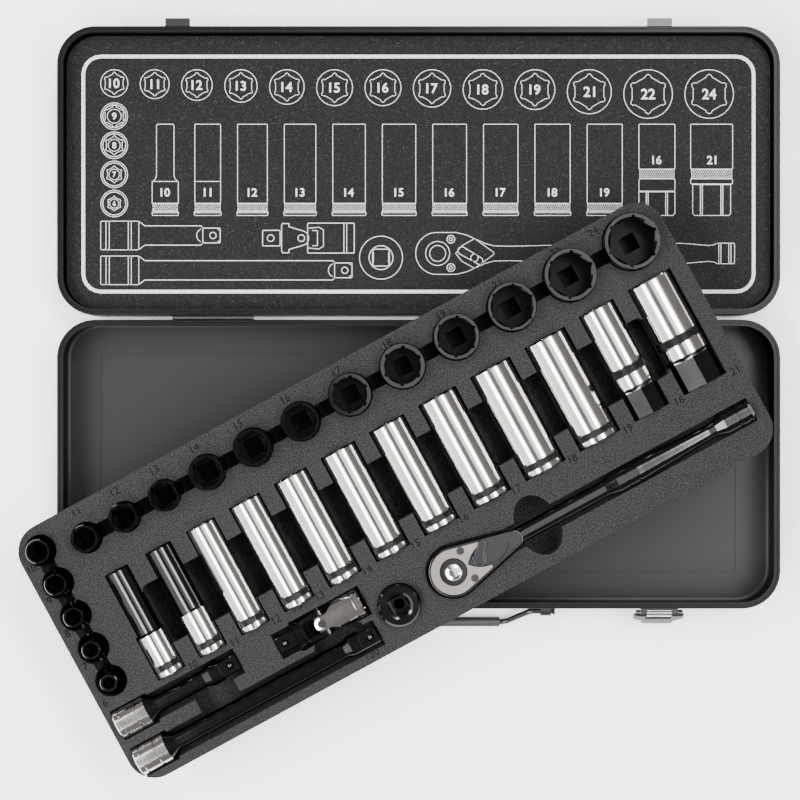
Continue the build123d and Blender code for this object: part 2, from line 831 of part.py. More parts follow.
# ------------------------------------------------------- spark plug sockets
for size, width in plug_width.items():
    foot = lying(deep_spots[("plug", size)], deep_v, lying_axis(width), tray_plane.y_dir)
    radius = width / 2
    hex_end = plug_hex_length[size]
    collar_start = hex_end + plug_taper
    collar_end = hex_end + plug_collar
    with BuildPart() as plug_socket:
        hexagon(foot, plug_hex[size], 0, hex_end + 1)
        turn(
            foot,
            [
                (0, hex_end),
                (plug_hex[size] / 2, hex_end),
                (radius, collar_start),
                (radius, collar_end),
                (radius - knurl_depth, collar_end + 0.2),
                (radius - knurl_depth, collar_end + knurl_width + 0.9),
                (radius, collar_end + knurl_width + 1.1),
                (radius, plug_length - short_chamfer),
                (radius - short_chamfer * 0.6, plug_length),
                (0, plug_length),
            ],
        )
        cut_drive(foot, drive_depth)
        hexagon_mouth(foot, size, radius, plug_length - deep_hexagon_depth, plug_length)
        disc(foot, size / 2, plug_length - deep_bore_length, plug_length - 1, mode=Mode.SUBTRACT)
        lead = size * hexagon_lead
        turn(foot, [(0, plug_length), (lead, plug_length), (0, plug_length - lead)], mode=Mode.SUBTRACT)
    finish(f"plug_socket_{size}", plug_socket, f"spark plug socket {size}")
    insert_end = plug_length - insert_depth
    with BuildPart() as plug_insert:
        disc(foot, size / 2 - insert_gap, insert_end - insert_length, insert_end)
        disc(foot, insert_bore, insert_end - insert_length, insert_end, mode=Mode.SUBTRACT)
    finish(f"plug_insert_{size}", plug_insert, f"spark plug insert {size}")

# ----------------------------------------------------------- extension bars
bar_axis = lying_axis(bar_head_width)
for name, length in bar_lengths.items():
    head = lying(bar_u, bar_v[name], bar_axis, tray_plane.x_dir)
    head_radius_bar = bar_head_width / 2
    shaft_radius = bar_shaft_width / 2
    end_start = length - bar_end_length
    square_start = length - bar_square_length
    outline = [(0, 0), (head_radius_bar - short_chamfer, 0), (head_radius_bar, short_chamfer)]
    for place in bar_groove_places:
        outline += [
            (head_radius_bar, place),
            (head_radius_bar - bar_groove, place + bar_groove),
            (head_radius_bar - bar_groove, place + bar_groove_width),
            (head_radius_bar, place + bar_groove + bar_groove_width),
        ]
    outline += [
        (head_radius_bar, bar_head_length),
        (shaft_radius, bar_head_length + bar_taper),
        (shaft_radius, end_start),
        (drive_corner_radius, end_start + bar_end_taper),
        (drive_corner_radius, square_start),
        (0, square_start),
    ]
    ball_spot = head.offset(length - ball_from_end)
    with BuildPart() as bar:
        turn(head, outline)
        drive_square(head, drive, drive_corner_radius, square_start - 1, length)
        chamfer(bar.faces().sort_by(Axis(head.origin, head.z_dir))[-1].edges(), short_chamfer)
        cut_drive(head, drive_depth)
        ball_seat(ball_spot, drive / 2)
        detent_ball(ball_spot, drive / 2)
    finish(f"extension_bar_{name}", bar, f"extension bar {name}")

# ---------------------------------------------------------- universal joint
joint_axis = lying_axis(2 * joint_radius)
joint_centre = lying(joint_u, joint_v, joint_axis, tray_plane.x_dir)
joint_round = joint_radius - 0.1
pin_upright = Plane(origin=joint_centre.origin, x_dir=joint_centre.z_dir, z_dir=joint_centre.x_dir)
pin_level = Plane(origin=joint_centre.origin, x_dir=joint_centre.z_dir, z_dir=joint_centre.y_dir)
joint_ear_gap = joint_arm_half + joint_arm_gap
square_far = joint_fork_length + joint_collar + joint_square_length
joint_nose = joint_round * 0.88

with BuildPart() as joint_driver:
    turn(
        joint_centre,
        [
            (0, -joint_fork_length - joint_collar),
            (joint_radius - short_chamfer, -joint_fork_length - joint_collar),
            (joint_radius, -joint_fork_length - joint_collar + short_chamfer),
            (joint_radius, -joint_fork_length),
            (joint_round - 0.5, -joint_fork_length + 0.5),
            (joint_round, 0),
            (joint_nose, joint_arm_half),
            (0, joint_arm_half),
        ],
    )
    with BuildSketch(pin_level.offset(-joint_radius - 1)):
        Rectangle(joint_slot, 4 * joint_radius, align=(Align.MAX, Align.CENTER))
        Rectangle(joint_radius, 4 * joint_radius, align=(Align.MIN, Align.CENTER))
        Circle(joint_arm_half + 0.2, mode=Mode.SUBTRACT)
        Rectangle(
            joint_slot, 2 * joint_arm_half + 0.4, align=(Align.MAX, Align.CENTER), mode=Mode.SUBTRACT
        )
    extrude(amount=2 * joint_radius + 2, mode=Mode.SUBTRACT)
    with BuildSketch(pin_upright.offset(-joint_radius - 1)):
        with Locations((-joint_slot, 0)):
            Rectangle(3 * joint_slot, 2 * joint_ear_gap, align=(Align.MIN, Align.CENTER))
    extrude(amount=2 * joint_radius + 2, mode=Mode.SUBTRACT)
    disc(pin_level, joint_pin_radius + turning_fit, -joint_radius, joint_radius, mode=Mode.SUBTRACT)
    drive_square(joint_centre, drive, drive_corner_radius, -square_far, -joint_fork_length - joint_collar + 0.5)
    chamfer(joint_driver.faces().sort_by(Axis(joint_centre.origin, joint_centre.z_dir))[0].edges(), short_chamfer)
    joint_ball = joint_centre.offset(-square_far + ball_from_end)
    ball_seat(joint_ball, drive / 2)
    detent_ball(joint_ball, drive / 2)
finish("joint_driver", joint_driver, "universal joint driver")

with BuildPart() as joint_barrel:
    turn(
        joint_centre,
        [
            (0, -joint_arm_half),
            (joint_nose, -joint_arm_half),
            (joint_round, 0),
            (joint_radius, joint_barrel_slot),
            (joint_radius, joint_groove_place),
            (joint_radius - knurl_depth, joint_groove_place + 0.2),
            (joint_radius - knurl_depth, joint_groove_place + 1.0),
            (joint_radius, joint_groove_place + 1.2),
            (joint_radius, joint_barrel_length - short_chamfer),
            (joint_radius - short_chamfer, joint_barrel_length),
            (0, joint_barrel_length),
        ],
    )
    with BuildSketch(pin_upright.offset(-joint_radius - 1)):
        Rectangle(3 * joint_radius, 4 * joint_radius, align=(Align.CENTER, Align.CENTER))
        with BuildLine():
            Polyline(
                (0, -joint_arm_half),
                (joint_arm_half, -joint_arm_half),
                (joint_barrel_taper, -joint_radius - 0.5),
                (2 * joint_radius, -joint_radius - 0.5),
                (2 * joint_radius, joint_radius + 0.5),
                (joint_barrel_taper, joint_radius + 0.5),
                (joint_arm_half, joint_arm_half),
                (0, joint_arm_half),
                close=True,
            )
        make_face(mode=Mode.SUBTRACT)
        Circle(joint_arm_half, mode=Mode.SUBTRACT)
    extrude(amount=2 * joint_radius + 2, mode=Mode.SUBTRACT)
    with BuildSketch(pin_level.offset(-joint_radius - 1)):
        with Locations((joint_barrel_slot, 0)):
            Rectangle(3 * joint_slot, 2 * joint_arm_half, align=(Align.MAX, Align.CENTER))
    extrude(amount=2 * joint_radius + 2, mode=Mode.SUBTRACT)
    disc(pin_upright, joint_pin_radius + turning_fit, -joint_radius, joint_radius, mode=Mode.SUBTRACT)
    far_face = Plane(
        origin=joint_centre.from_local_coords(Vector(0, 0, joint_barrel_length)),
        x_dir=joint_centre.x_dir,
        z_dir=-joint_centre.z_dir,
    )
    cut_drive(far_face, drive_depth)
finish("joint_barrel", joint_barrel, "universal joint barrel")

with BuildPart() as joint_cross:
    block_length = 2 * joint_arm_half - 1.2
    with BuildSketch(pin_upright.offset(-joint_arm_half + joint_block_gap)):
        Rectangle(block_length, 2 * (joint_ear_gap - joint_block_gap))
    extrude(amount=2 * (joint_arm_half - joint_block_gap))
    disc(pin_upright, joint_pin_radius, -joint_round + 0.3, joint_round - 0.3)
    disc(pin_level, joint_pin_radius, -joint_round + 0.3, joint_round - 0.3)
finish("joint_cross", joint_cross, "universal joint cross")

# ------------------------------------------------------------------ adaptor
adaptor_foot = upright(adaptor_u, adaptor_v, pocket_floor + seat_gap)
adaptor_top = adaptor_square_length + adaptor_body
with BuildPart() as adaptor:
    adaptor_radius = adaptor_width / 2
    turn(
        adaptor_foot,
        [
            (0, adaptor_square_length),
            (adaptor_radius - adaptor_chamfer, adaptor_square_length),
            (adaptor_radius, adaptor_square_length + adaptor_chamfer),
            (adaptor_radius, adaptor_top - adaptor_chamfer),
            (adaptor_radius - adaptor_chamfer, adaptor_top),
            (0, adaptor_top),
        ],
    )
    square_corner = drive_corner_radius * adaptor_square / drive
    drive_square(adaptor_foot, adaptor_square, square_corner, 0, adaptor_square_length + 1)
    chamfer(adaptor.faces().sort_by(Axis.Z)[0].edges(), short_chamfer)
    top_face = Plane(
        origin=adaptor_foot.from_local_coords(Vector(0, 0, adaptor_top)),
        x_dir=adaptor_foot.x_dir,
        z_dir=-adaptor_foot.z_dir,
    )
    cut_drive(top_face, drive_depth)
    turn(
        top_face,
        [(0, 0), (drive_hole / 2 + 2 * adaptor_mouth, 0), (drive_hole / 2, adaptor_mouth), (0, adaptor_mouth)],
        mode=Mode.SUBTRACT,
    )
    disc(adaptor_foot, adaptor_hole_radius, 0, adaptor_top, mode=Mode.SUBTRACT)
finish("adaptor", adaptor, "drive adaptor")

# ------------------------------------------------------------------ ratchet
ratchet_axis = tray_thickness - ratchet_axis_drop
ratchet = upright(ratchet_u, ratchet_v, ratchet_axis)
ratchet_line = lying(ratchet_u, ratchet_v, ratchet_axis, tray_plane.x_dir)
head_top = head_thickness / 2
cover_floor = head_top - cover_thickness
cavity_low = -gear_half_height + gear_gap
gear_low = cavity_low + gear_gap
gear_high = cover_floor - gear_gap
leaf_floor = head_top - leaf_depth
pawl_radius = 5.2
button_floor = head_top + 0.6 - button_travel - 1.2


def head_outline(inset):
    """The ratchet head's teardrop outline, drawn in by an inset, on a new plane."""
    with BuildSketch(ratchet, mode=Mode.PRIVATE) as outline:
        Circle(head_radius - inset)
        with Locations((neck_start, 0)):
            Circle(neck_radius - min(inset, neck_radius / 2))
        make_hull()
    return outline.sketch


def leaf_outline():
    """The leaf-shaped recess that the reversing lever swings in."""
    bow = (leaf_half_length**2 + leaf_half_width**2) / (2 * leaf_half_width)
    middle = lever_pivot + leaf_half_length / 2
    with BuildSketch(ratchet, mode=Mode.PRIVATE) as outline:
        with Locations((middle, bow - leaf_half_width)):
            Circle(bow)
        with Locations((middle, leaf_half_width - bow)):
            Circle(bow, mode=Mode.INTERSECT)
    return outline.sketch


def raised(sketch, height):
    """A copy of a sketch, moved up by a height."""
    return sketch.moved(Location((0, 0, height)))


with BuildPart() as ratchet_handle:
    extrude(raised(head_outline(0), -head_top), amount=head_thickness)
    fillet(ratchet_handle.faces().sort_by(Axis.Z)[0].edges(), head_round)
    fillet(ratchet_handle.faces().sort_by(Axis.Z)[-1].edges(), head_round * 0.6)
    outline = [(0, neck_start - 12), (neck_radius, neck_start - 12), (neck_radius, shoulder_start)]
    outline += [(grip_wide_radius, shoulder_start + shoulder_length)]
    for place in ring_places[:2]:
        outline += [
            (grip_wide_radius, place),
            (grip_wide_radius - ring_groove, place + 0.2),
            (grip_wide_radius - ring_groove, place + ring_width - 0.2),
            (grip_wide_radius, place + ring_width),
        ]
    outline += [(grip_wide_radius - 0.4, ring_places[1] + 8)]
    outline += [(grip_end_radius, grip_taper_end), (grip_end_radius + 0.3, grip_taper_end + 4)]
    outline += [(knob_radius, knob_start)]
    for place in ring_places[2:]:
        outline += [
            (knob_radius, place),
            (knob_radius - ring_groove, place + 0.2),
            (knob_radius - ring_groove, place + ring_width - 0.2),
            (knob_radius, place + ring_width),
        ]
    outline += [(knob_radius, handle_length - 1.5), (knob_radius - 1.5, handle_length), (0, handle_length)]
    turn(ratchet_line, outline)
    extrude(raised(head_outline(cover_inset - button_fit), cover_floor), amount=cover_thickness + 1, mode=Mode.SUBTRACT)
    disc(ratchet, gear_radius + gear_gap, cavity_low, head_top, mode=Mode.SUBTRACT)
    disc(ratchet, hub_radius - 1 + button_fit, -head_thickness, 0, mode=Mode.SUBTRACT)
    with BuildSketch(ratchet.offset(cavity_low)):
        with Locations((lever_pivot, 0)):
            Circle(pawl_radius + gear_gap)
    extrude(amount=head_top - cavity_low, mode=Mode.SUBTRACT)
    extrude(raised(leaf_outline(), leaf_floor), amount=leaf_depth + 1, mode=Mode.SUBTRACT)
    for side in (-1, 1):
        with BuildSketch(ratchet):
            with Locations((screw_x, side * screw_y)):
                Circle(screw_shank_radius + button_fit)
        extrude(amount=head_top, mode=Mode.SUBTRACT)
finish("ratchet_handle", ratchet_handle, "ratchet handle")

with BuildPart() as ratchet_cover:
    extrude(raised(head_outline(cover_inset), cover_floor), amount=cover_thickness)
    chamfer(ratchet_cover.faces().sort_by(Axis.Z)[-1].edges(), cover_thickness * 0.2)
    disc(ratchet, hub_radius + button_fit, cover_floor - 1, head_top + 1, mode=Mode.SUBTRACT)
    with BuildSketch(ratchet.offset(cover_floor - 1)):
        with Locations((cover_reach, 0)):
            Rectangle(neck_start, 4 * head_radius, align=(Align.MIN, Align.CENTER))
        for side in (-1, 1):
            with Locations((screw_x, side * screw_y)):
                Circle(screw_head_radius + button_fit)
    extrude(amount=cover_thickness + 2, mode=Mode.SUBTRACT)
    extrude(raised(leaf_outline(), cover_floor - 1), amount=cover_thickness + 2, mode=Mode.SUBTRACT)
finish("ratchet_cover", ratchet_cover, "ratchet cover plate")

with BuildPart() as cover_screws:
    for side in (-1, 1):
        spot = Plane(
            origin=ratchet.from_local_coords(Vector(screw_x, side * screw_y, 0)),
            x_dir=ratchet.x_dir,
            z_dir=ratchet.z_dir,
        )
        head_low = cover_floor + button_fit
        disc(spot, screw_head_radius, head_low, head_top + 0.2)
        disc(spot, screw_shank_radius, button_fit, head_low)
        hexagon(spot, screw_head_radius, head_top - 0.7, head_top + 1, mode=Mode.SUBTRACT)
finish("cover_screws", cover_screws, "cover screws")

with BuildPart() as drive_gear:
    disc(ratchet, gear_radius, gear_low, gear_high)
    with BuildSketch(ratchet.offset(gear_low)):
        with PolarLocations(gear_radius, gear_teeth):
            RegularPolygon(gear_tooth_depth, 3, rotation=180)
    extrude(amount=gear_high - gear_low, mode=Mode.SUBTRACT)
    disc(ratchet, hub_radius, gear_low, head_top + 0.6)
    chamfer(drive_gear.faces().sort_by(Axis.Z)[-1].edges(), 0.4)
    disc(ratchet, hub_radius - 1, -head_top - button_fit, gear_low)
    drive_square(ratchet, drive, drive_corner_radius, -head_top - square_reach, -head_top)
    chamfer(drive_gear.faces().sort_by(Axis.Z)[0].edges(), short_chamfer)
    disc(ratchet, button_radius + 2 * button_fit, button_floor, head_thickness, mode=Mode.SUBTRACT)
    disc(ratchet, button_stem + button_fit, -head_top - square_reach + 5, button_floor, mode=Mode.SUBTRACT)
finish("drive_gear", drive_gear, "ratchet drive gear")

with BuildPart() as release_button:
    dome_foot = button_floor + button_travel + button_fit
    stem_foot = -head_top - square_reach + 5 + button_travel + 0.3
    turn(
        ratchet,
        [
            (0, stem_foot),
            (button_stem, stem_foot),
            (button_stem, dome_foot),
            (button_radius, dome_foot),
            (button_radius, dome_foot + button_head * 0.45),
            (button_radius * 0.86, dome_foot + button_head * 0.72),
            (button_radius * 0.55, dome_foot + button_head * 0.93),
            (0, dome_foot + button_head),
        ],
    )
finish("release_button", release_button, "quick release button")

with BuildPart() as reversing_lever:
    lever_spot = Plane(
        origin=ratchet.from_local_coords(Vector(lever_pivot, 0, 0)),
        x_dir=ratchet.x_dir,
        z_dir=ratchet.z_dir,
    )
    lever_turn = lever_spot.rotated((0, 0, lever_angle))
    lever_low = leaf_floor + gear_gap
    arm_low = head_top + gear_gap
    arm_high = head_top + 1.9
    disc(lever_spot, lever_hub_radius, lever_low, arm_high)
    disc(lever_spot, lever_shaft_radius, cavity_low + gear_gap, lever_low)
    with BuildSketch(lever_turn.offset(arm_low)) as arm:
        with BuildLine():
            Polyline(
                (0, -lever_hub_radius * 0.9),
                (lever_arm * 0.6, -lever_arm_width / 2),
                (lever_arm, -lever_arm_width / 2),
                (lever_arm, lever_arm_width / 2),
                (lever_arm * 0.6, lever_arm_width / 2),
                (0, lever_hub_radius * 0.9),
                close=True,
            )
        make_face()
        fillet(arm.vertices().sort_by(Axis(lever_turn.origin, lever_turn.x_dir))[-2:], 1.6)
    extrude(amount=arm_high - arm_low)
    fillet(reversing_lever.faces().sort_by(Axis.Z)[-1].edges(), 0.5)
finish("reversing_lever", reversing_lever, "reversing lever")

with BuildPart() as pawl:
    with BuildSketch(ratchet.offset(cavity_low + gear_gap)):
        with Locations((lever_pivot, 0)):
            Circle(pawl_radius)
        Circle(gear_radius + 2 * gear_gap, mode=Mode.SUBTRACT)
        with Locations((lever_pivot, 0)):
            Circle(lever_shaft_radius + turning_fit, mode=Mode.SUBTRACT)
    extrude(amount=leaf_floor - cavity_low - 2 * gear_gap)
finish("pawl", pawl, "pawl")

# ---------------------------------------------------------------- foam tray
with BuildPart() as foam_tray:
    with BuildSketch(tray_plane):
        RectangleRounded(tray_length, tray_width, tray_corner)
    extrude(amount=tray_thickness)
    # Standing sockets: a round pocket each, and a finger channel along each row.
    for size, (u, v) in short_spots.items():
        pocket = upright(u, v, 0)
        pocket_radius = short_foot_radius(size) + pocket_gap
        disc(pocket, pocket_radius, short_floor(size), tray_thickness + 1, mode=Mode.SUBTRACT)
    channel_axis = tray_thickness - channel_depth
    column_low_v = short_spots[column_sizes[-1]][1]
    row_end_u = short_spots[row_sizes[-1]][0]
    column_line = lying(column_u, 0, channel_axis, tray_plane.y_dir)
    trench(column_line, channel_radius, column_low_v, column_top_v)
    row_line = lying(0, row_v, channel_axis, tray_plane.x_dir)
    trench(row_line, channel_radius, row_u, row_end_u)
    # Deep and plug sockets: a round-bottomed bed each, over one cross trough.
    for (kind, size), u in deep_spots.items():
        width = deep_width[size] if kind == "deep" else plug_width[size]
        length = deep_length if kind == "deep" else plug_length
        line = lying(u, deep_v, lying_axis(width), tray_plane.y_dir)
        if kind == "deep" and size in deep_neck_width:
            neck = deep_neck_width[size] / 2 + pocket_gap
            trench(line, width / 2 + pocket_gap, -pocket_gap, deep_shoulder + deep_taper)
            trench(line, neck, deep_shoulder, length + pocket_gap)
        else:
            trench(line, width / 2 + pocket_gap, -pocket_gap, length + pocket_gap)
    trough_low_v = -15.5
    trough_high_v = 19.9
    trough_low_u = deep_spots[("deep", 10)] + 7.0
    trough_high_u = deep_spots[("plug", 21)] - 13.0
    trough = upright((trough_low_u + trough_high_u) / 2, (trough_low_v + trough_high_v) / 2, 0)
    recess(trough, trough_high_u - trough_low_u, trough_high_v - trough_low_v, trough_corner, trough_floor)
    # Extension bars: a bed for the head, the shaft and the end, and finger recesses.
    for name, length in bar_lengths.items():
        line = lying(bar_u, bar_v[name], bar_axis, tray_plane.x_dir)
        trench(line, bar_head_width / 2 + pocket_gap, -pocket_gap, bar_head_length + bar_taper / 2)
        trench(line, drive_corner_radius + ball_proud + pocket_gap, 0, length + pocket_gap)
    bars_middle_v = (bar_v[75] + bar_v[150]) / 2
    bars_span_v = bar_v[75] - bar_v[150]
    recess(upright(bar_u + 56.0, bars_middle_v, 0), 24.0, bars_span_v, recess_corner, recess_floor)
    recess(upright(bar_u + 129.6, bar_v[150] + 6.5, 0), 30.4, 9.0, recess_corner, recess_floor)
    # Universal joint: a bed for the barrel and fork, and a narrower one for the square.
    joint_line = lying(joint_u, joint_v, joint_axis, tray_plane.x_dir)
    joint_end = joint_barrel_length + joint_swing_room + pocket_gap
    joint_start = -joint_fork_length - joint_collar - pocket_gap
    trench(joint_line, joint_radius + pocket_gap, joint_start, joint_end)
    trench(joint_line, drive_corner_radius + ball_proud + pocket_gap, -square_far - pocket_gap, 0)
    adaptor_pocket = upright(adaptor_u, adaptor_v, 0)
    disc(adaptor_pocket, adaptor_width / 2 + pocket_gap, pocket_floor, tray_thickness + 1, mode=Mode.SUBTRACT)
    # Ratchet: a bed for the head, a deeper hole for its square, a handle bed and a scoop.
    head_floor = -head_top - seat_gap
    extrude(raised(head_outline(-ratchet_pocket_gap), head_floor), amount=tray_thickness, mode=Mode.SUBTRACT)
    disc(ratchet, hub_radius, head_floor - square_reach, 0, mode=Mode.SUBTRACT)
    trench(ratchet_line, knob_radius + pocket_gap, head_radius, handle_length + pocket_gap)
    scoop = upright(scoop_u, ratchet_v, scoop_floor)
    with BuildSketch(scoop):
        Ellipse(scoop_length / 2, scoop_width / 2)
    extrude(amount=tray_thickness, mode=Mode.SUBTRACT)
finish("foam_tray", foam_tray, "foam tray")

os.makedirs("parts", exist_ok=True)
for name, part in parts.items():
    export_step(part, f"parts/{name}.step")
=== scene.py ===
"""A socket wrench set laid open: its steel case, its foam tray and its chrome and black tools."""

import math

import bmesh
import bpy
from mathutils import Matrix, Vector


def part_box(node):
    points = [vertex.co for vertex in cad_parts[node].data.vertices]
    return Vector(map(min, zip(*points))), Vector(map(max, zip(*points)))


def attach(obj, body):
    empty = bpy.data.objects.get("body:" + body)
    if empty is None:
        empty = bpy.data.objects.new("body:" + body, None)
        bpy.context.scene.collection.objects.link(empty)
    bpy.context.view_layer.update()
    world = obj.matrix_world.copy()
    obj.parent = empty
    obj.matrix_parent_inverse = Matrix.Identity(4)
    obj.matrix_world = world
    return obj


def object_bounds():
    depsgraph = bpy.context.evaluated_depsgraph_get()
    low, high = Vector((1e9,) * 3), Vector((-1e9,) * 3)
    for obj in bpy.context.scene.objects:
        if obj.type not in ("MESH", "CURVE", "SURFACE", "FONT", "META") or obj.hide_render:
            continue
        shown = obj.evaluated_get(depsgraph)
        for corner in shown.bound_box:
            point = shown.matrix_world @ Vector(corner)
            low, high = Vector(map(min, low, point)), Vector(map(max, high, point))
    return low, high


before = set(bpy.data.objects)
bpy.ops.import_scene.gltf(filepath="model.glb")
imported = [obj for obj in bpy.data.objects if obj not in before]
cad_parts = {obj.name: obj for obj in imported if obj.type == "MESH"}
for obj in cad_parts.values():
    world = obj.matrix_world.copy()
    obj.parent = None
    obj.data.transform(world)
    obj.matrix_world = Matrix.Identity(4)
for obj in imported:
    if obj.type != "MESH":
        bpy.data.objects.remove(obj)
cad_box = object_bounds()


# ------------------------------------------------------------------ the case
# Two halves pressed from 1 mm sheet steel, each with its floor and walls drawn in one piece and its
# rim folded over. Both are powder coated black, and the coat cures to a fine satin orange peel.
mm = 0.001


class Wire:
    """A socket of a finish; arithmetic on it adds the Math nodes."""

    def __init__(self, finish, socket):
        self.finish = finish
        self.socket = socket

    def maths(self, operation, *values):
        inputs = dict(enumerate(values))
        return self.finish.node("ShaderNodeMath", {"operation": operation}, inputs)

    def __add__(self, other):
        return self.maths("ADD", self, other)

    def __radd__(self, other):
        return self.maths("ADD", other, self)

    def __mul__(self, other):
        return self.maths("MULTIPLY", self, other)

    def __rmul__(self, other):
        return self.maths("MULTIPLY", other, self)

    def __truediv__(self, other):
        return self.maths("DIVIDE", self, other)

    def __gt__(self, other):
        return self.maths("GREATER_THAN", self, other)


class Finish:
    """A material made on one Principled shader. What is the same all over goes on its sockets."""

    def __init__(self, name, constants):
        self.material = bpy.data.materials.new(name)
        self.material.use_nodes = True
        self.tree = self.material.node_tree
        self.shader = self.tree.nodes["Principled BSDF"]
        for socket, value in constants.items():
            self.shader.inputs[socket].default_value = value

    def node(self, kind, settings, inputs, output=0):
        """Add a node: its type, then its settings, then the values or wires of its sockets."""
        made = self.tree.nodes.new(kind)
        for setting, value in settings.items():
            setattr(made, setting, value)
        for socket, value in inputs.items():
            if isinstance(value, Wire):
                self.tree.links.new(value.socket, made.inputs[socket])
            else:
                made.inputs[socket].default_value = value
        return Wire(self, made.outputs[output])

    def place(self):
        """The point on the piece, in metres."""
        return self.node("ShaderNodeTexCoord", {}, {}, "Object")

    def noise(self, size, detail=2.0, roughness=0.5):
        """Even noise from 0 to 1 whose grains are about that size in millimetres."""
        inputs = {
            "Vector": self.place(),
            "Scale": 1.0 / (size * mm),
            "Detail": detail,
            "Roughness": roughness,
        }
        return self.node("ShaderNodeTexNoise", {}, inputs)

    def between(self, wire, low, high):
        """A wire's values from low to high spread smoothly over 0 to 1."""
        inputs = {"Value": wire, "From Min": low, "From Max": high}
        return self.node("ShaderNodeMapRange", {"interpolation_type": "SMOOTHSTEP"}, inputs)

    def mix(self, factor, first, second):
        """A colour between two others."""
        inputs = {0: factor, 6: first, 7: second}
        return self.node("ShaderNodeMix", {"data_type": "RGBA"}, inputs, 2)

    def along(self, direction, start):
        """Millimetres along a direction from a start point, as a wire."""
        shifted = self.node(
            "ShaderNodeVectorMath", {"operation": "SUBTRACT"}, {0: self.place(), 1: start}
        )
        inputs = {0: shifted, 1: direction}
        metres = self.node("ShaderNodeVectorMath", {"operation": "DOT_PRODUCT"}, inputs, "Value")
        return metres / mm

    def colour(self, wire):
        self.tree.links.new(wire.socket, self.shader.inputs["Base Color"])

    def roughness(self, wire):
        self.tree.links.new(wire.socket, self.shader.inputs["Roughness"])

    def relief(self, height, depth, strength):
        """Let a height from 0 to 1 stand up by that depth in millimetres."""
        inputs = {"Height": height, "Distance": depth * mm, "Strength": strength}
        bump = self.node("ShaderNodeBump", {}, inputs, "Normal")
        self.tree.links.new(bump.socket, self.shader.inputs["Normal"])

    def coat(self, *nodes):
        """Put the finish on CAD nodes."""
        for node in nodes:
            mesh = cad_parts[node].data
            mesh.materials.clear()
            mesh.materials.append(self.material)


def powder_coat(name, pale, dark, roughness, peel, depth, gloss, floor_level=None):
    """A cured powder coat: an orange peel of a size and depth in millimetres, uneven in gloss. Given a
    floor level, the faces below it get a paler colour: painted sheen on the case's floor.
    """
    coat = Finish(name, {"Metallic": 0.0, "Specular IOR Level": gloss})
    grain = coat.noise(peel, 3.0, 0.6)
    cloud = coat.noise(60.0, 2.0)
    shade = coat.mix(coat.between(grain, 0.35, 0.7), dark, pale)
    # painted sheen: faces below the floor level get a paler colour, standing in for the lit floor's sheen
    if floor_level is not None:
        height = coat.along((0, 0, 1), (0, 0, 0))
        above_floor = coat.between(height, floor_level, floor_level + painted_sheen_fade)
        shade = coat.mix(above_floor, painted_floor_sheen, shade)
    coat.colour(shade)
    coat.roughness(roughness - 0.05 + 0.06 * grain + 0.05 * cloud)
    coat.relief(grain, depth, 0.6)
    return coat


# The coat on the pressed floor is painted paler, as painted sheen of the lit floor, and the paler colour
# fades out over this many millimetres above it.
painted_sheen_fade = 2.5
painted_floor_sheen = (0.019, 0.019, 0.0193, 1)
case_coat = powder_coat(
    "case_powder_coat", pale=(0.0065, 0.0065, 0.007, 1), dark=(0.0035, 0.0035, 0.0038, 1),
    roughness=0.33, peel=0.55, depth=0.018, gloss=0.11, floor_level=1.2,
)
case_coat.coat("case_base", "case_lid")


# ------------------------------------------------- the hinges and the latches
# The hinge leaves, the latches with their brackets and catches and the handle's brackets are pressed
# from steel strip, black electrophoretic coated and smoother than the case. Their pins are bare rod.
fitting_coat = powder_coat(
    "fitting_coat", pale=(0.012, 0.012, 0.0125, 1), dark=(0.006, 0.006, 0.0065, 1),
    roughness=0.26, peel=0.8, depth=0.006, gloss=0.4,
)
fitting_coat.coat(
    "base_hinge_leaves", "lid_hinge_leaves", "latch_brackets", "latch_left", "latch_right",
    "lid_catches", "handle_brackets", "handle_bail",
)

pin_steel = Finish("pin_steel", {"Metallic": 1.0})
pin_grain = pin_steel.noise(0.5, 3.0)
pin_steel.colour(pin_steel.mix(pin_grain, (0.16, 0.16, 0.165, 1), (0.24, 0.24, 0.24, 1)))
pin_steel.roughness(0.22 + 0.12 * pin_grain)
pin_steel.coat("hinge_pins", "latch_pins")


# ------------------------------------------------------------- the case handle
# A wire bail with a thicker grip moulded round its straight part. The grip is black polypropylene
# with the fine matt of a sand-blasted mould.
grip_moulding = Finish("grip_moulding", {"Metallic": 0.0})
grip_grain = grip_moulding.noise(0.35, 4.0, 0.6)
grip_moulding.colour(grip_moulding.mix(grip_grain, (0.012, 0.012, 0.012, 1), (0.022, 0.022, 0.022, 1)))
grip_moulding.roughness(0.42 + 0.12 * grip_grain)
grip_moulding.relief(grip_grain, 0.015, 0.6)
grip_moulding.coat("handle_grip")


# ----------------------------------------------------------- the lid's liner
# A card of black foam rubber glued inside the lid. Its skin is pebbled, and the ground-up rubber in it
# shows as fine paler specks.
liner_rubber = Finish("liner_rubber", {"Metallic": 0.0, "Specular IOR Level": 0.1})
liner_grain = liner_rubber.noise(0.75, 4.0, 0.65)
liner_speck = liner_rubber.between(liner_rubber.noise(0.9, 1.0), 0.6, 0.75)
liner_height = liner_rubber.between(liner_grain, 0.35, 0.65)
liner_ground = liner_rubber.mix(
    liner_height, (0.003, 0.003, 0.0032, 1), (0.011, 0.0108, 0.0114, 1)
)
liner_rubber.colour(liner_rubber.mix(liner_speck, liner_ground, (0.026, 0.0255, 0.027, 1)))
liner_rubber.roughness(0.62 + 0.15 * liner_grain)
liner_rubber.relief(liner_grain, 0.06, 0.8)
liner_rubber.coat("lid_liner")


# ------------------------------------------------------ the print on the liner
# A plan of the set, screen printed in white ink that stands just proud of the liner: every tool in
# outline at its place, its size in a plain number, and a broad line round them all.
liner_low, liner_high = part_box("lid_liner")
liner_middle = (liner_low + liner_high) / 2
ink_line = 0.34
fine_line = 0.4
groove_line = 0.36
thin_line = 0.35
hair_line = 0.3
ink_sunk = 0.03
ink_proud = 0.05
ink = bmesh.new()


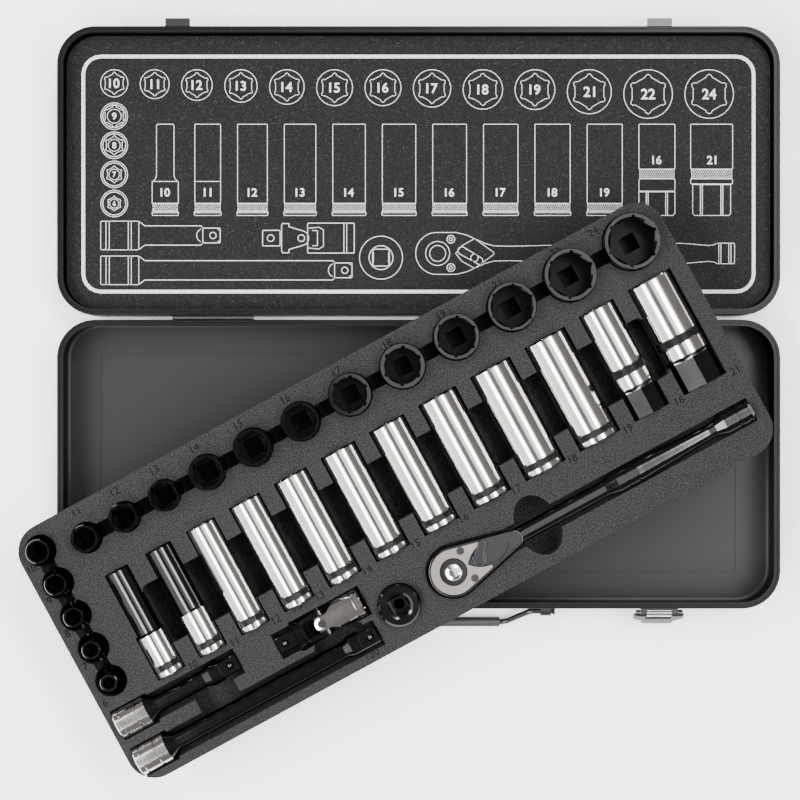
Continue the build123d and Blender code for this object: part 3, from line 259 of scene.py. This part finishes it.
def closed_line(points, width=ink_line):
    """A printed line along the inside of an outline that runs anticlockwise, in millimetres."""
    corners = [ink.verts.new((x * mm, y * mm, 0)) for x, y in points]
    inner = ink.faces.new(corners)
    inner.normal_update()
    bmesh.ops.inset_individual(ink, faces=[inner], thickness=width * mm, use_even_offset=True)
    bmesh.ops.delete(ink, geom=[inner], context="FACES")


def straight_line(start, end, width=ink_line):
    """A printed line from one point to another."""
    start = Vector(start)
    end = Vector(end)
    across = (end - start).orthogonal().normalized() * width / 2
    corners = [start + across, start - across, end - across, end + across]
    if (end - start).cross(across) > 0:
        corners.reverse()
    ink.faces.new([ink.verts.new((x * mm, y * mm, 0)) for x, y in corners])


def bent_line(points, width=ink_line):
    """A printed line through several points."""
    for start, end in zip(points, points[1:]):
        straight_line(start, end, width)


def arc(x, y, radius, start, end, steps=10):
    """Points on an arc from one angle to another, in degrees."""
    angles = [math.radians(start + (end - start) * step / steps) for step in range(steps + 1)]
    return [(x + radius * math.cos(angle), y + radius * math.sin(angle)) for angle in angles]


def circle_line(x, y, radius, width=ink_line):
    closed_line(arc(x, y, radius, 0, 360 - 7.5, 47), width)


def box_points(left, low, right, high, corner=1.0):
    """The outline of a box with rounded corners."""
    points = []
    for x, y, start in (
        (right - corner, low + corner, -90), (right - corner, high - corner, 0),
        (left + corner, high - corner, 90), (left + corner, low + corner, 180),
    ):
        points += arc(x, y, corner, start, start + 90, 5)
    return points


mouth_line = 0.32


def hexagon_line(x, y, tip):
    """The mouth of a socket: flats that step out to rounded corners."""
    shape = ((-11.0, 0.85), (-8.0, 0.93), (0.0, 1.0), (8.0, 0.93), (11.0, 0.85))
    points = []
    for corner in range(6):
        for turn, share in shape:
            angle = math.radians(60 * corner + 30 + turn)
            points.append((x + tip * share * math.cos(angle), y + tip * share * math.sin(angle)))
    closed_line(points, mouth_line)


def knurl_print(left, right, low, high):
    """Cross hatching that stands for a knurled band, clipped to its box."""
    corner = 0.3
    closed_line(box_points(left, low, right, high, corner), hair_line)
    pitch = 1.3
    lean = 0.6
    shortest = 0.3
    hatch_line = 0.2
    rise = high - low
    for slope in (-lean, lean):
        shift = abs(slope) * rise
        for step in range(int((right - left + shift) / pitch) + 1):
            foot = left - (shift if slope > 0 else 0) + step * pitch
            ends = []
            for side in (left, right):
                share = min(1.0, max(0.0, (side - foot) / (slope * rise)))
                ends.append((foot + slope * rise * share, low + rise * share))
            if (Vector(ends[0]) - Vector(ends[1])).length > shortest:
                straight_line(ends[0], ends[1], hatch_line)


def numeral(group, number, place, height, weight=0.0, turn=0.0, depth=0.08):
    """Set a plain number into a group's mesh, its middle at a place in metres and its height in mm."""
    letters = bpy.data.curves.new("numeral", "FONT")
    letters.body = str(number)
    letters.offset = weight
    letters.resolution_u = 4
    letters.extrude = 0.5  # both ways, so that the letters are 1 deep before they are scaled
    shape = bpy.data.objects.new("numeral", letters)
    flat = bpy.data.meshes.new_from_object(shape)
    corners = [vertex.co for vertex in flat.vertices]
    low = Vector([min(corner[axis] for corner in corners) for axis in range(3)])
    high = Vector([max(corner[axis] for corner in corners) for axis in range(3)])
    scale = height * mm / (high.y - low.y)
    flat.transform(
        Matrix.Translation(place)
        @ Matrix.Rotation(turn, 4, "Z")
        @ Matrix.Diagonal((scale, scale, depth * mm, 1))
        @ Matrix.Translation(-(low + high) / 2)
    )
    group.from_mesh(flat)
    bpy.data.meshes.remove(flat)
    bpy.data.objects.remove(shape)
    bpy.data.curves.remove(letters)


liner_numbers = bmesh.new()
bold_weight = 0.016


def print_number(number, x, y, height):
    spot = liner_middle + Vector((x * mm, y * mm, 0))
    spot.z = liner_high.z + (ink_proud - ink_sunk) / 2 * mm
    numeral(liner_numbers, number, spot, height, bold_weight, depth=ink_sunk + ink_proud)


# The broad line round them all, with corners that follow the lid's.
broad_line = 2.0
broad_corner = 11.0
broad_half_x = 191.5
broad_half_y = 67.8
broad_middle = -1.0
broad_low = broad_middle - broad_half_y
broad_high = broad_middle + broad_half_y
closed_line(box_points(-broad_half_x, broad_low, broad_half_x, broad_high, broad_corner), broad_line)

# The short sockets, seen from above: a row of thirteen whose tops line up, and a column of four.
circle_radius = {
    10: 7.9, 11: 8.4, 12: 8.9, 13: 9.4, 14: 10.0, 15: 10.4, 16: 10.4, 17: 10.8, 18: 11.4, 19: 11.5,
    21: 12.7, 22: 14.0, 24: 14.0,
}
circle_x = -172.9
circle_top = 58.5
circle_gap = 6.7
mouth_share = 0.82
last_radius = None
for size, radius in circle_radius.items():
    if last_radius is not None:
        circle_x += last_radius + radius + circle_gap
    last_radius = radius
    circle_y = circle_top - radius
    circle_line(circle_x, circle_y, radius)
    hexagon_line(circle_x, circle_y, mouth_share * radius)
    print_number(size, circle_x, circle_y, 4.6 + 0.1 * radius)
column_x = -172.9
column_top = 31.9
column_pitch = 16.55
column_tip = {9: 6.6, 8: 5.7, 7: 5.0, 6: 4.4}
number_share = 0.62
for place, (size, tip) in enumerate(column_tip.items()):
    circle_y = column_top - column_pitch * place
    circle_line(column_x, circle_y, 7.75)
    circle_line(column_x, circle_y, 6.7, fine_line)
    hexagon_line(column_x, circle_y, tip)
    circle_line(column_x, circle_y, tip * number_share, hair_line)
    print_number(size, column_x, circle_y, tip * number_share)

# The deep sockets, seen from the side, each with its knurled band near the drive's end.
deep_top = 27.5
deep_low = -24.7
band_high = -17.8
band_low = -22.0
deep_print = {
    10: 15.2, 11: 15.6, 12: 17.9, 13: 18.8, 14: 19.5, 15: 19.9, 16: 20.2, 17: 20.5, 18: 21.0, 19: 20.9,
}
deep_gap = 8.7
deep_left = -151.5
deep_number_y = -11.4
side_number = 4.8
for size, width in deep_print.items():
    left = deep_left
    right = left + width
    deep_left = right + deep_gap
    middle = (left + right) / 2
    if size == 10:
        neck = 5.15
        closed_line(
            [(left, band_high), (right, band_high), (right, -5.6), (middle + neck + 0.6, -3.6),
             (middle + neck, -2.0), (middle + neck, deep_top - 0.8), (middle + neck - 0.8, deep_top),
             (middle - neck + 0.8, deep_top), (middle - neck, deep_top - 0.8), (middle - neck, -2.0),
             (middle - neck - 0.6, -3.6), (left, -5.6)]
        )
    else:
        closed_line(box_points(left + 0.3, band_high, right - 0.3, deep_top, 0.7))
    if size in (10, 11):
        straight_line((left, -5.2), (right, -5.2))
    knurl_print(left + 0.5, right - 0.5, band_low, band_high)
    closed_line(box_points(left, deep_low, right, band_low, 0.9))
    straight_line((left + 0.5, band_low - 0.9), (right - 0.5, band_low - 0.9), thin_line)
    print_number(size, middle, deep_number_y, side_number)

# The two spark plug sockets: the band stands at the middle, over a hexagon.
plug_left = {16: 125.1, 21: 154.5}
plug_print = {16: 20.8, 21: 24.2}
plug_band_low = -3.5
plug_band_high = 1.65
for size, left in plug_left.items():
    right = left + plug_print[size]
    middle = (left + right) / 2
    closed_line(box_points(left, plug_band_high, right, deep_top, 0.7))
    knurl_print(left + 0.5, right - 0.5, plug_band_low, plug_band_high)
    print_number(size, middle, 7.0, side_number)
    collar_low = -10.9 if size == 16 else -6.8
    hexagon_half = 10.4 if size == 16 else 10.95
    closed_line(box_points(left, collar_low, right, plug_band_low, 0.9))
    closed_line(
        [(middle - hexagon_half + 1.2, deep_low), (middle + hexagon_half - 1.2, deep_low),
         (middle + hexagon_half, deep_low + 1.2), (middle + hexagon_half, collar_low),
         (middle - hexagon_half, collar_low), (middle - hexagon_half, deep_low + 1.2)]
    )
    for side in (-1, 1):
        for share in (0.48, 0.58):
            edge_x = middle + side * share * hexagon_half
            straight_line((edge_x, deep_low + 0.4), (edge_x, collar_low - 0.4), fine_line)

# The two extension bars, their square ends to the right.
bar_left = -180.8
for bar_y, bar_length in ((-35.9, 68.3), (-55.7, 143.2)):
    head_half = 8.3
    shaft_half = 5.5
    head_end = bar_left + 22.0
    shaft_start = bar_left + 25.4
    bar_right = bar_left + bar_length
    square_left = bar_right - 10.3
    shaft_end = square_left - 0.6
    closed_line(box_points(bar_left, bar_y - head_half, head_end, bar_y + head_half, 0.9))
    for groove in (3.2, 5.1, 15.9, 17.6):
        groove_x = bar_left + groove
        straight_line((groove_x, bar_y - head_half), (groove_x, bar_y + head_half), groove_line)
    for side in (-1, 1):
        bent_line(
            [(head_end - 0.4, bar_y + side * (head_half - 0.3)), (head_end + 0.8, bar_y + side * 7.4),
             (shaft_start - 0.6, bar_y + side * (shaft_half + 0.3)),
             (shaft_start, bar_y + side * shaft_half),
             (shaft_end - 0.4, bar_y + side * shaft_half), (shaft_end + 0.6, bar_y + side * 4.7)],
            fine_line,
        )
    closed_line(box_points(square_left, bar_y - 4.4, bar_right, bar_y + 4.4, 0.8), fine_line)
    circle_line(bar_right - 4.3, bar_y, 2.0, fine_line)
    bent_line(arc(square_left + 0.6, bar_y, 3.9, 112, 248, 12), groove_line)
    for side in (1, -1):
        bent_line([(bar_right - 2.0, bar_y + side * 4.2), (bar_right - 0.9, bar_y + side * 3.0)], fine_line)

# The universal joint: square, collar and fork to the left, the barrel to the right.
joint_y = -37.4
closed_line(box_points(-88.8, joint_y - 4.6, -78.4, joint_y + 4.6, 0.8), fine_line)
circle_line(-84.0, joint_y, 2.1, fine_line)
closed_line(
    [(-78.0, joint_y - 7.4), (-77.4, joint_y - 8.5), (-73.4, joint_y - 8.5), (-73.4, joint_y - 6.6),
     (-66.6, joint_y - 4.6)] + arc(-66.6, joint_y, 4.4, -80, 80, 12)
    + [(-66.6, joint_y + 4.6), (-73.4, joint_y + 6.6), (-73.4, joint_y + 8.5), (-77.4, joint_y + 8.5),
       (-78.0, joint_y + 7.4)],
    fine_line,
)
circle_line(-66.6, joint_y, 2.1, fine_line)
closed_line(box_points(-63.2, joint_y - 8.7, -36.3, joint_y + 8.7, 0.8), fine_line)
for band_x in (-42.4, -40.8):
    straight_line((band_x, joint_y - 8.6), (band_x, joint_y + 8.6), groove_line)
for side in (-1, 1):
    bent_line(
        [(-63.0, joint_y + side * 5.6), (-56.6, joint_y + side * 6.2), (-54.0, joint_y + side * 4.6),
         (-54.0, joint_y)],
        groove_line,
    )
    straight_line((-60.4, joint_y + side * 4.3), (-57.6, joint_y + side * 4.3), fine_line)
straight_line((-57.4, joint_y - 4.3), (-57.4, joint_y + 4.3), fine_line)

# The adaptor, end on.
circle_line(-21.3, -48.5, 12.4)
circle_line(-21.3, -48.5, 7.0, fine_line)
closed_line(box_points(-26.3, -53.5, -16.3, -43.5, 1.6), fine_line)
for flat_x in (-25.6, -17.0):
    straight_line((flat_x, -51.6), (flat_x, -45.4), thin_line)

# The ratchet: its head with the drive, the screws and the lever, its handle with the ringed knob.
ratchet_y = -46.1
head_half = 11.9
bent_line(
    [(31.9, ratchet_y + 8.4), (27.5, ratchet_y + 10.4), (21.5, ratchet_y + head_half)]
    + arc(10.3, ratchet_y, head_half, 90, 270, 24)
    + [(21.5, ratchet_y - head_half), (27.5, ratchet_y - 10.4), (31.9, ratchet_y - 8.4)]
)
for side in (-1, 1):
    bent_line(
        [(31.9, ratchet_y + side * 8.4), (38.0, ratchet_y + side * 5.6), (43.0, ratchet_y + side * 4.3),
         (52.0, ratchet_y + side * 4.1), (100.0, ratchet_y + side * 5.2), (140.0, ratchet_y + side * 6.0),
         (152.0, ratchet_y + side * 5.6), (165.0, ratchet_y + side * 4.5), (167.5, ratchet_y + side * 4.8),
         (170.5, ratchet_y + side * 6.0)]
    )
    bent_line([(21.1, ratchet_y), (24.6, ratchet_y + side * 4.4), (31.9, ratchet_y + side * 8.4)])
    bent_line([(31.9, ratchet_y + side * 8.4), (42.0, ratchet_y + side * 1.2), (43.1, ratchet_y)])
    circle_line(18.4, ratchet_y + side * 8.05, 2.4, fine_line)
    circle_line(18.4, ratchet_y + side * 8.05, 1.1, thin_line)
circle_line(10.9, ratchet_y, 7.0)
circle_line(10.9, ratchet_y, 4.7)
closed_line(box_points(170.5, ratchet_y - 6.0, 179.8, ratchet_y + 6.0, 0.8))
for band_x in (171.9, 176.3, 177.6):
    straight_line((band_x, ratchet_y - 5.9), (band_x, ratchet_y + 5.9), groove_line)
lever_tilt = math.radians(-30)
lever_run = Vector((math.cos(lever_tilt), math.sin(lever_tilt)))
lever_foot = Vector((24.6, ratchet_y + 1.6))
lever_length = 11.5
lever_tip = lever_foot + lever_run * lever_length
lever_points = arc(lever_foot.x, lever_foot.y, 2.4, 60, 240, 10)
lever_points += arc(lever_tip.x, lever_tip.y, 2.2, -120, 60, 10)
closed_line(lever_points, fine_line)
circle_line(lever_foot.x + 7.2, lever_foot.y - 4.1, 2.3, fine_line)

raised = bmesh.ops.extrude_face_region(ink, geom=ink.faces[:])
raised_corners = [item for item in raised["geom"] if isinstance(item, bmesh.types.BMVert)]
bmesh.ops.translate(ink, verts=raised_corners, vec=(0, 0, (ink_sunk + ink_proud) * mm))
bmesh.ops.recalc_face_normals(ink, faces=ink.faces)
ink.transform(Matrix.Translation((liner_middle.x, liner_middle.y, liner_high.z - ink_sunk * mm)))


def piece(name, shape, finish, body):
    """Make a finished bmesh a piece that rides on a body and takes its finish from a slot."""
    mesh = bpy.data.meshes.new(name)
    shape.to_mesh(mesh)
    shape.free()
    made = bpy.data.objects.new(name, mesh)
    bpy.context.scene.collection.objects.link(made)
    mesh.materials.append(finish.material)
    for face in mesh.polygons:
        face.use_smooth = False
    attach(made, body)


white_ink = Finish("white_ink", {"Metallic": 0.0, "Specular IOR Level": 0.3})
ink_wear = white_ink.noise(0.6, 3.0, 0.6)
ink_cover = white_ink.between(ink_wear, 0.3, 0.6)
white_ink.colour(white_ink.mix(ink_cover, (0.36, 0.36, 0.36, 1), (0.62, 0.62, 0.62, 1)))
white_ink.roughness(0.55 + 0.1 * ink_wear)
piece("liner_print", ink, white_ink, "lid")
piece("liner_numbers", liner_numbers, white_ink, "lid")


# --------------------------------------------------------------- the foam tray
# A block of black EVA foam, routed with a pocket for each tool and finger troughs between. Its cells
# are cut open all over, so that it is matt, finely pitted and a little warm in colour.
tray_turn = math.radians(28.5)
tray_low, tray_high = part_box("foam_tray")
tray_frame = (
    Matrix.Translation(((tray_low.x + tray_high.x) / 2, (tray_low.y + tray_high.y) / 2, tray_high.z))
    @ Matrix.Rotation(tray_turn, 4, "Z")
)
tray_u = (tray_frame.to_3x3() @ Vector((1, 0, 0))).normalized()
tray_v = (tray_frame.to_3x3() @ Vector((0, 1, 0))).normalized()

foam = Finish("tray_foam", {"Metallic": 0.0, "Specular IOR Level": 0.08})
foam_cell = foam.noise(0.8, 4.0, 0.7)
foam_pit = foam.between(foam.noise(0.55, 1.0), 0.3, 0.48)
foam_cloud = foam.noise(25.0, 3.0)
foam_wall = foam.between(foam_cell, 0.34, 0.66)
foam_ground = foam.mix(foam_wall, (0.006, 0.0057, 0.0059, 1), (0.036, 0.0341, 0.0356, 1))
foam_shade = foam.mix(foam_pit, (0.004, 0.0038, 0.0039, 1), foam_ground)
foam.colour(foam.mix(0.25 * foam_cloud, foam_shade, (0.024, 0.0228, 0.0238, 1)))
foam.roughness(0.8 + 0.15 * foam_cell)
foam.relief(0.6 * foam_cell + 0.4 * foam_pit, 0.16, 0.8)
foam.coat("foam_tray")


# ------------------------------------------------- the numbers in the foam tray
# Each pocket's size is scorched into the foam by a laser in thin figures. The scorched line is darker
# than the foam and lies level with it.
scorched = Finish("scorched_foam", {"Metallic": 0.0, "Specular IOR Level": 0.1})
scorch_grain = scorched.noise(0.5, 3.0)
scorched.colour(scorched.mix(scorch_grain, (0.001, 0.001, 0.001, 1), (0.004, 0.004, 0.004, 1)))
scorched.roughness(0.85 + 0.1 * scorch_grain)
tray_numbers = bmesh.new()
figure_height = 4.2
figure_weight = 0.0
figure_depth = 0.08
row_label = {
    11: -159.7, 12: -135.6, 13: -111.0, 14: -85.8, 15: -58.6, 16: -29.0, 17: 2.7, 18: 34.7, 19: 68.0,
    21: 102.6, 22: 139.4, 24: 162.8,
}
row_label_v = 73.0
column_label = {10: 57.3, 9: 37.4, 8: 16.8, 7: -3.8, 6: -26.6}
column_label_u = -195.8
deep_label = {
    10: -143.0, 11: -117.3, 12: -91.2, 13: -63.9, 14: -34.3, 15: -4.2, 16: 25.9, 17: 58.8, 18: 93.8,
    19: 128.5,
}
plug_label = {16: 160.6, 21: 194.7}
deep_label_v = -31.0
labels = [(size, u, row_label_v) for size, u in row_label.items()]
labels += [(size, column_label_u, v) for size, v in column_label.items()]
labels += [(size, u, deep_label_v) for size, u in deep_label.items()]
labels += [(size, u, deep_label_v) for size, u in plug_label.items()]
labels += [(75, -78.0, -30.0), (150, -54.0, -72.5)]
for size, u, v in labels:
    spot = tray_frame @ Vector((u * mm, v * mm, 0))
    numeral(tray_numbers, size, spot, figure_height, figure_weight, tray_turn, figure_depth)
piece("tray_numbers", tray_numbers, scorched, "tray")


# ------------------------------------------------------------ the deep sockets
# Each is turned from chrome vanadium bar, broached with a hexagon and a square, and plated with bright
# chrome. The narrow barrels of the two smallest are masked and black chromed.
def in_tray(node):
    """The least and greatest coordinates of a CAD node in the tray's own frame."""
    inverse = tray_frame.inverted()
    corners = [inverse @ vertex.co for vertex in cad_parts[node].data.vertices]
    low = Vector([min(corner[axis] for corner in corners) for axis in range(3)])
    high = Vector([max(corner[axis] for corner in corners) for axis in range(3)])
    return low, high


chrome_pale = (0.66, 0.645, 0.62, 1)
chrome_dull = (0.56, 0.55, 0.53, 1)
black_pale = (0.055, 0.055, 0.057, 1)
black_dull = (0.038, 0.038, 0.04, 1)


def plating(name):
    """Polished plating; the polisher's marks make it very slightly uneven."""
    plate = Finish(name, {"Metallic": 1.0})
    haze = plate.noise(9.0, 3.0)
    marks = plate.noise(0.9, 3.0, 0.6)
    plate.roughness(0.07 + 0.07 * haze + 0.04 * marks)
    return plate, haze


chrome, chrome_haze = plating("bright_chrome")
chrome.colour(chrome.mix(chrome_haze, chrome_dull, chrome_pale))
chrome.coat("release_button", *[f"deep_socket_{size}" for size in range(12, 20)])


def part_chromed(name, direction, start, chrome_end, blacked_first=False):
    """Chrome up to a distance along a tool and black chrome beyond it, or the other way round."""
    mask_edge = 0.1
    plate, haze = plating(name)
    distance = plate.along(direction, start)
    bright = plate.mix(haze, chrome_dull, chrome_pale)
    dark = plate.mix(haze, black_dull, black_pale)
    first, second = (dark, bright) if blacked_first else (bright, dark)
    beyond = plate.between(distance, chrome_end - mask_edge, chrome_end + mask_edge)
    plate.colour(plate.mix(beyond, first, second))
    return plate


deep_drive_v = in_tray("deep_socket_12")[0].y
deep_shoulder = 24.6
deep_start = tray_frame @ Vector((0, deep_drive_v, 0))
shouldered_chrome = part_chromed("shouldered_chrome", tray_v, deep_start, deep_shoulder)
shouldered_chrome.coat("deep_socket_10", "deep_socket_11")


# ------------------------------------------------------------ the knurled bands
# A band of diamond knurling is rolled into the groove round each deep socket for grip. It is left with
# the black oxide of the heat treatment, so that it shows dark between the bright turned faces.
knurl_black = Finish("knurl_oxide", {"Metallic": 1.0})
knurl_grain = knurl_black.noise(0.6, 2.0)
knurl_black.colour(knurl_black.mix(knurl_grain, (0.045, 0.045, 0.045, 1), (0.12, 0.118, 0.115, 1)))
knurl_black.roughness(0.14 + 0.1 * knurl_grain)


def knurl(node, start, width, body):
    """Roll a band of diamonds round a lying tool, from a distance up from its drive's end."""
    groove_depth = 0.42 * mm
    tooth_height = 0.36 * mm
    rim_turned_in = 0.2 * mm
    pitch = 1.3 * mm
    low, high = in_tray(node)
    radius = (high.x - low.x) / 2
    floor = radius - groove_depth
    teeth = round(2 * math.pi * radius / pitch)
    rows = max(2, round(width * mm / pitch))
    band = bmesh.new()
    bmesh.ops.create_grid(band, x_segments=teeth, y_segments=rows, size=0.5)
    middle = Vector(((low.x + high.x) / 2, low.y + (start + width / 2) * mm, high.z - radius))
    for vertex in band.verts:
        angle = 2 * math.pi * vertex.co.x
        along = vertex.co.y * width * mm
        vertex.co = middle + Vector((floor * math.sin(angle), along, floor * math.cos(angle)))
    bmesh.ops.remove_doubles(band, verts=band.verts, dist=0.01 * mm)
    squares = [edge for edge in band.edges if not edge.is_boundary]
    bmesh.ops.poke(band, faces=band.faces)
    bmesh.ops.dissolve_edges(band, edges=squares, use_verts=False)
    bmesh.ops.poke(band, faces=band.faces, offset=tooth_height)
    rims = [edge for edge in band.edges if edge.is_boundary]
    turned_in = bmesh.ops.extrude_edge_only(band, edges=rims)
    for item in turned_in["geom"]:
        if isinstance(item, bmesh.types.BMVert):
            axis_point = Vector((middle.x, item.co.y, middle.z))
            item.co = axis_point + (item.co - axis_point) * (1 - rim_turned_in / floor)
    bmesh.ops.recalc_face_normals(band, faces=band.faces)
    band.transform(tray_frame)
    piece(node + "_knurl", band, knurl_black, body)


knurl_start = 3.25
knurl_width = 3.8
for size in range(10, 20):
    knurl(f"deep_socket_{size}", knurl_start, knurl_width, f"deep_socket_{size}")


# ------------------------------------------------------ the spark plug sockets
# As the deep sockets, but with the knurl at the middle and a black chromed hexagon at the drive's end
# for a spanner. Inside the mouth is a nitrile rubber sleeve that holds the plug.
plug_hexagon = {16: 15.0, 21: 16.4}
plug_collar = 9.65
plug_knurl_width = 4.7
for size, hexagon_end in plug_hexagon.items():
    node = f"plug_socket_{size}"
    drive_end = tray_frame @ Vector((0, in_tray(node)[0].y, 0))
    part_chromed(node + "_plating", tray_v, drive_end, hexagon_end, blacked_first=True).coat(node)
    knurl(node, hexagon_end + plug_collar, plug_knurl_width, node)

sleeve = Finish("nitrile_sleeve", {"Metallic": 0.0, "Specular IOR Level": 0.4})
sleeve_grain = sleeve.noise(0.7, 3.0)
sleeve.colour(sleeve.mix(sleeve_grain, (0.006, 0.006, 0.006, 1), (0.014, 0.014, 0.014, 1)))
sleeve.roughness(0.5 + 0.15 * sleeve_grain)
sleeve.coat("plug_insert_16", "plug_insert_21")


# ------------------------------------------------- the short sockets and adaptor
# The seventeen short sockets and the adaptor are turned and broached like the deep ones, and plated
# with black chrome, which shines like glass but stays nearly black. The joint's driver, the ratchet's
# handle, its lever and its gear have the same plating.
black_chrome, black_haze = plating("black_chrome")
black_chrome.colour(black_chrome.mix(black_haze, black_dull, black_pale))
black_chrome.coat("adaptor", "joint_driver", "ratchet_handle", "reversing_lever", "drive_gear")

# Each short socket's blind floor is painted near black, as painted shade deep in the hexagon, and made
# rougher: that is every face that looks up from more than this depth in millimetres below the top.
blind_depth = 3.0
level_enough = 0.8
blind_floor_painted_shade = (0.006, 0.006, 0.006, 1)
for size in (*range(6, 20), 21, 22, 24):
    node = f"socket_{size:02d}"
    blind_plate, blind_haze = plating(node + "_plating")
    depth = blind_plate.along((0, 0, -1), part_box(node)[1])
    facing = blind_plate.node("ShaderNodeNewGeometry", {}, {}, "Normal")
    upward = blind_plate.node(
        "ShaderNodeVectorMath", {"operation": "DOT_PRODUCT"}, {0: facing, 1: (0, 0, 1)}, "Value"
    )
    painted_shade_mask = (upward > level_enough) * (depth > blind_depth)
    shine = blind_plate.mix(blind_haze, black_dull, black_pale)
    # painted shade: the up-facing floor deep in each hexagon is painted near black
    blind_plate.colour(blind_plate.mix(painted_shade_mask, shine, blind_floor_painted_shade))
    blind_plate.roughness(0.07 + 0.07 * blind_haze + 0.3 * painted_shade_mask)
    blind_plate.coat(node)


# ------------------------------------------------------------ the extension bars
# Forged bars with a turned head and a square end. The head is bright chromed and the shank black
# chromed; a sprung steel ball in the square end holds the socket.
bar_head_end = 18.7
for length in (75, 150):
    node = f"extension_bar_{length}"
    bar_low, bar_high = in_tray(node)
    bar_start = tray_frame @ Vector((bar_low.x, 0, 0))
    bar_plate = part_chromed(node + "_plating", tray_u, bar_start, bar_head_end)
    bar_plate.coat(node)


# ----------------------------------------------------------- the universal joint
# Two forged forks turn on a pinned cross. The barrel, with the female square, is bright chromed, and
# the driver and the cross between them are black.
chrome.coat("joint_barrel")
dark_steel = Finish("dark_steel", {"Metallic": 1.0})
dark_grain = dark_steel.noise(0.8, 3.0)
dark_steel.colour(dark_steel.mix(dark_grain, (0.045, 0.045, 0.047, 1), (0.09, 0.09, 0.092, 1)))
dark_steel.roughness(0.2 + 0.14 * dark_grain)
dark_steel.coat("joint_cross", "pawl", "cover_screws")


# ---------------------------------------------------------------- the ratchet
# The cover plate over the gear is zinc plated steel with a satin nickel face, held down by two socket
# screws. The collar of the drive is dark, and the sprung button in it is domed and chromed.
nickel = Finish("satin_nickel", {"Metallic": 1.0})
nickel_grain = nickel.noise(0.5, 3.0, 0.6)
nickel_cloud = nickel.noise(14.0, 2.0)
nickel.colour(nickel.mix(nickel_cloud, (0.27, 0.25, 0.228, 1), (0.33, 0.308, 0.284, 1)))
nickel.roughness(0.26 + 0.1 * nickel_grain)
nickel.relief(nickel_grain, 0.003, 0.4)
nickel.coat("ratchet_cover")


# ------------------------------------------------- the floor, the light and the camera
# A plain pale floor. Two soft boxes stand across the tray, each with a brighter heart, so that round
# bright tools show two white bands. The camera looks straight down.
floor_shape = bmesh.new()
bmesh.ops.create_grid(floor_shape, x_segments=1, y_segments=1, size=6.0)
floor_mesh = bpy.data.meshes.new("floor")
floor_shape.to_mesh(floor_mesh)
floor_shape.free()
floor = bpy.data.objects.new("floor", floor_mesh)
bpy.context.scene.collection.objects.link(floor)
floor_paint = Finish("floor_paint", {"Base Color": (0.93, 0.93, 0.93, 1), "Roughness": 0.75,
                                      "Emission Color": (1, 1, 1, 1), "Emission Strength": 0.45})
floor_mesh.materials.append(floor_paint.material)
floor_gap = 0.1 * mm
floor.location.z = cad_box[0].z - floor_gap

aim = tray_frame.translation + Vector((0, 0.03, 0))


def soft_box(name, angle, distance, width, length, brightness):
    """A soft box at an angle from straight up, across the tray, that faces the tray."""
    lamp = bpy.data.lights.new(name, "AREA")
    lamp.shape = "RECTANGLE"
    lamp.size = width
    lamp.size_y = length
    lamp.energy = brightness * width * length
    box = bpy.data.objects.new(name, lamp)
    bpy.context.scene.collection.objects.link(box)
    tilt = math.radians(angle)
    box.matrix_world = (
        Matrix.Translation(aim) @ Matrix.Rotation(tray_turn, 4, "Z") @ Matrix.Rotation(tilt, 4, "Y")
        @ Matrix.Translation((0, 0, distance))
    )
    box.visible_camera = False


soft_box("right_box", 19.5, 1.55, 1.2, 2.3, 7.0)
soft_box("right_heart", 27.0, 1.5, 0.36, 2.1, 62.0)
soft_box("left_box", -53.0, 1.45, 1.7, 2.3, 7.0)
soft_box("left_heart", -35.0, 1.4, 0.42, 2.1, 55.0)

world = bpy.data.worlds.new("studio")
world.use_nodes = True
bpy.context.scene.world = world
sky = world.node_tree.nodes["Background"]
sky.inputs["Color"].default_value = (0.27, 0.26, 0.25, 1)
sky.inputs["Strength"].default_value = 1.0

lens = bpy.data.cameras.new("camera")
lens.lens = 77.0
lens.sensor_width = 36.0
camera = bpy.data.objects.new("camera", lens)
camera.location = (-0.0105, 0.0362, 0.990)
bpy.context.scene.collection.objects.link(camera)
bpy.context.scene.camera = camera
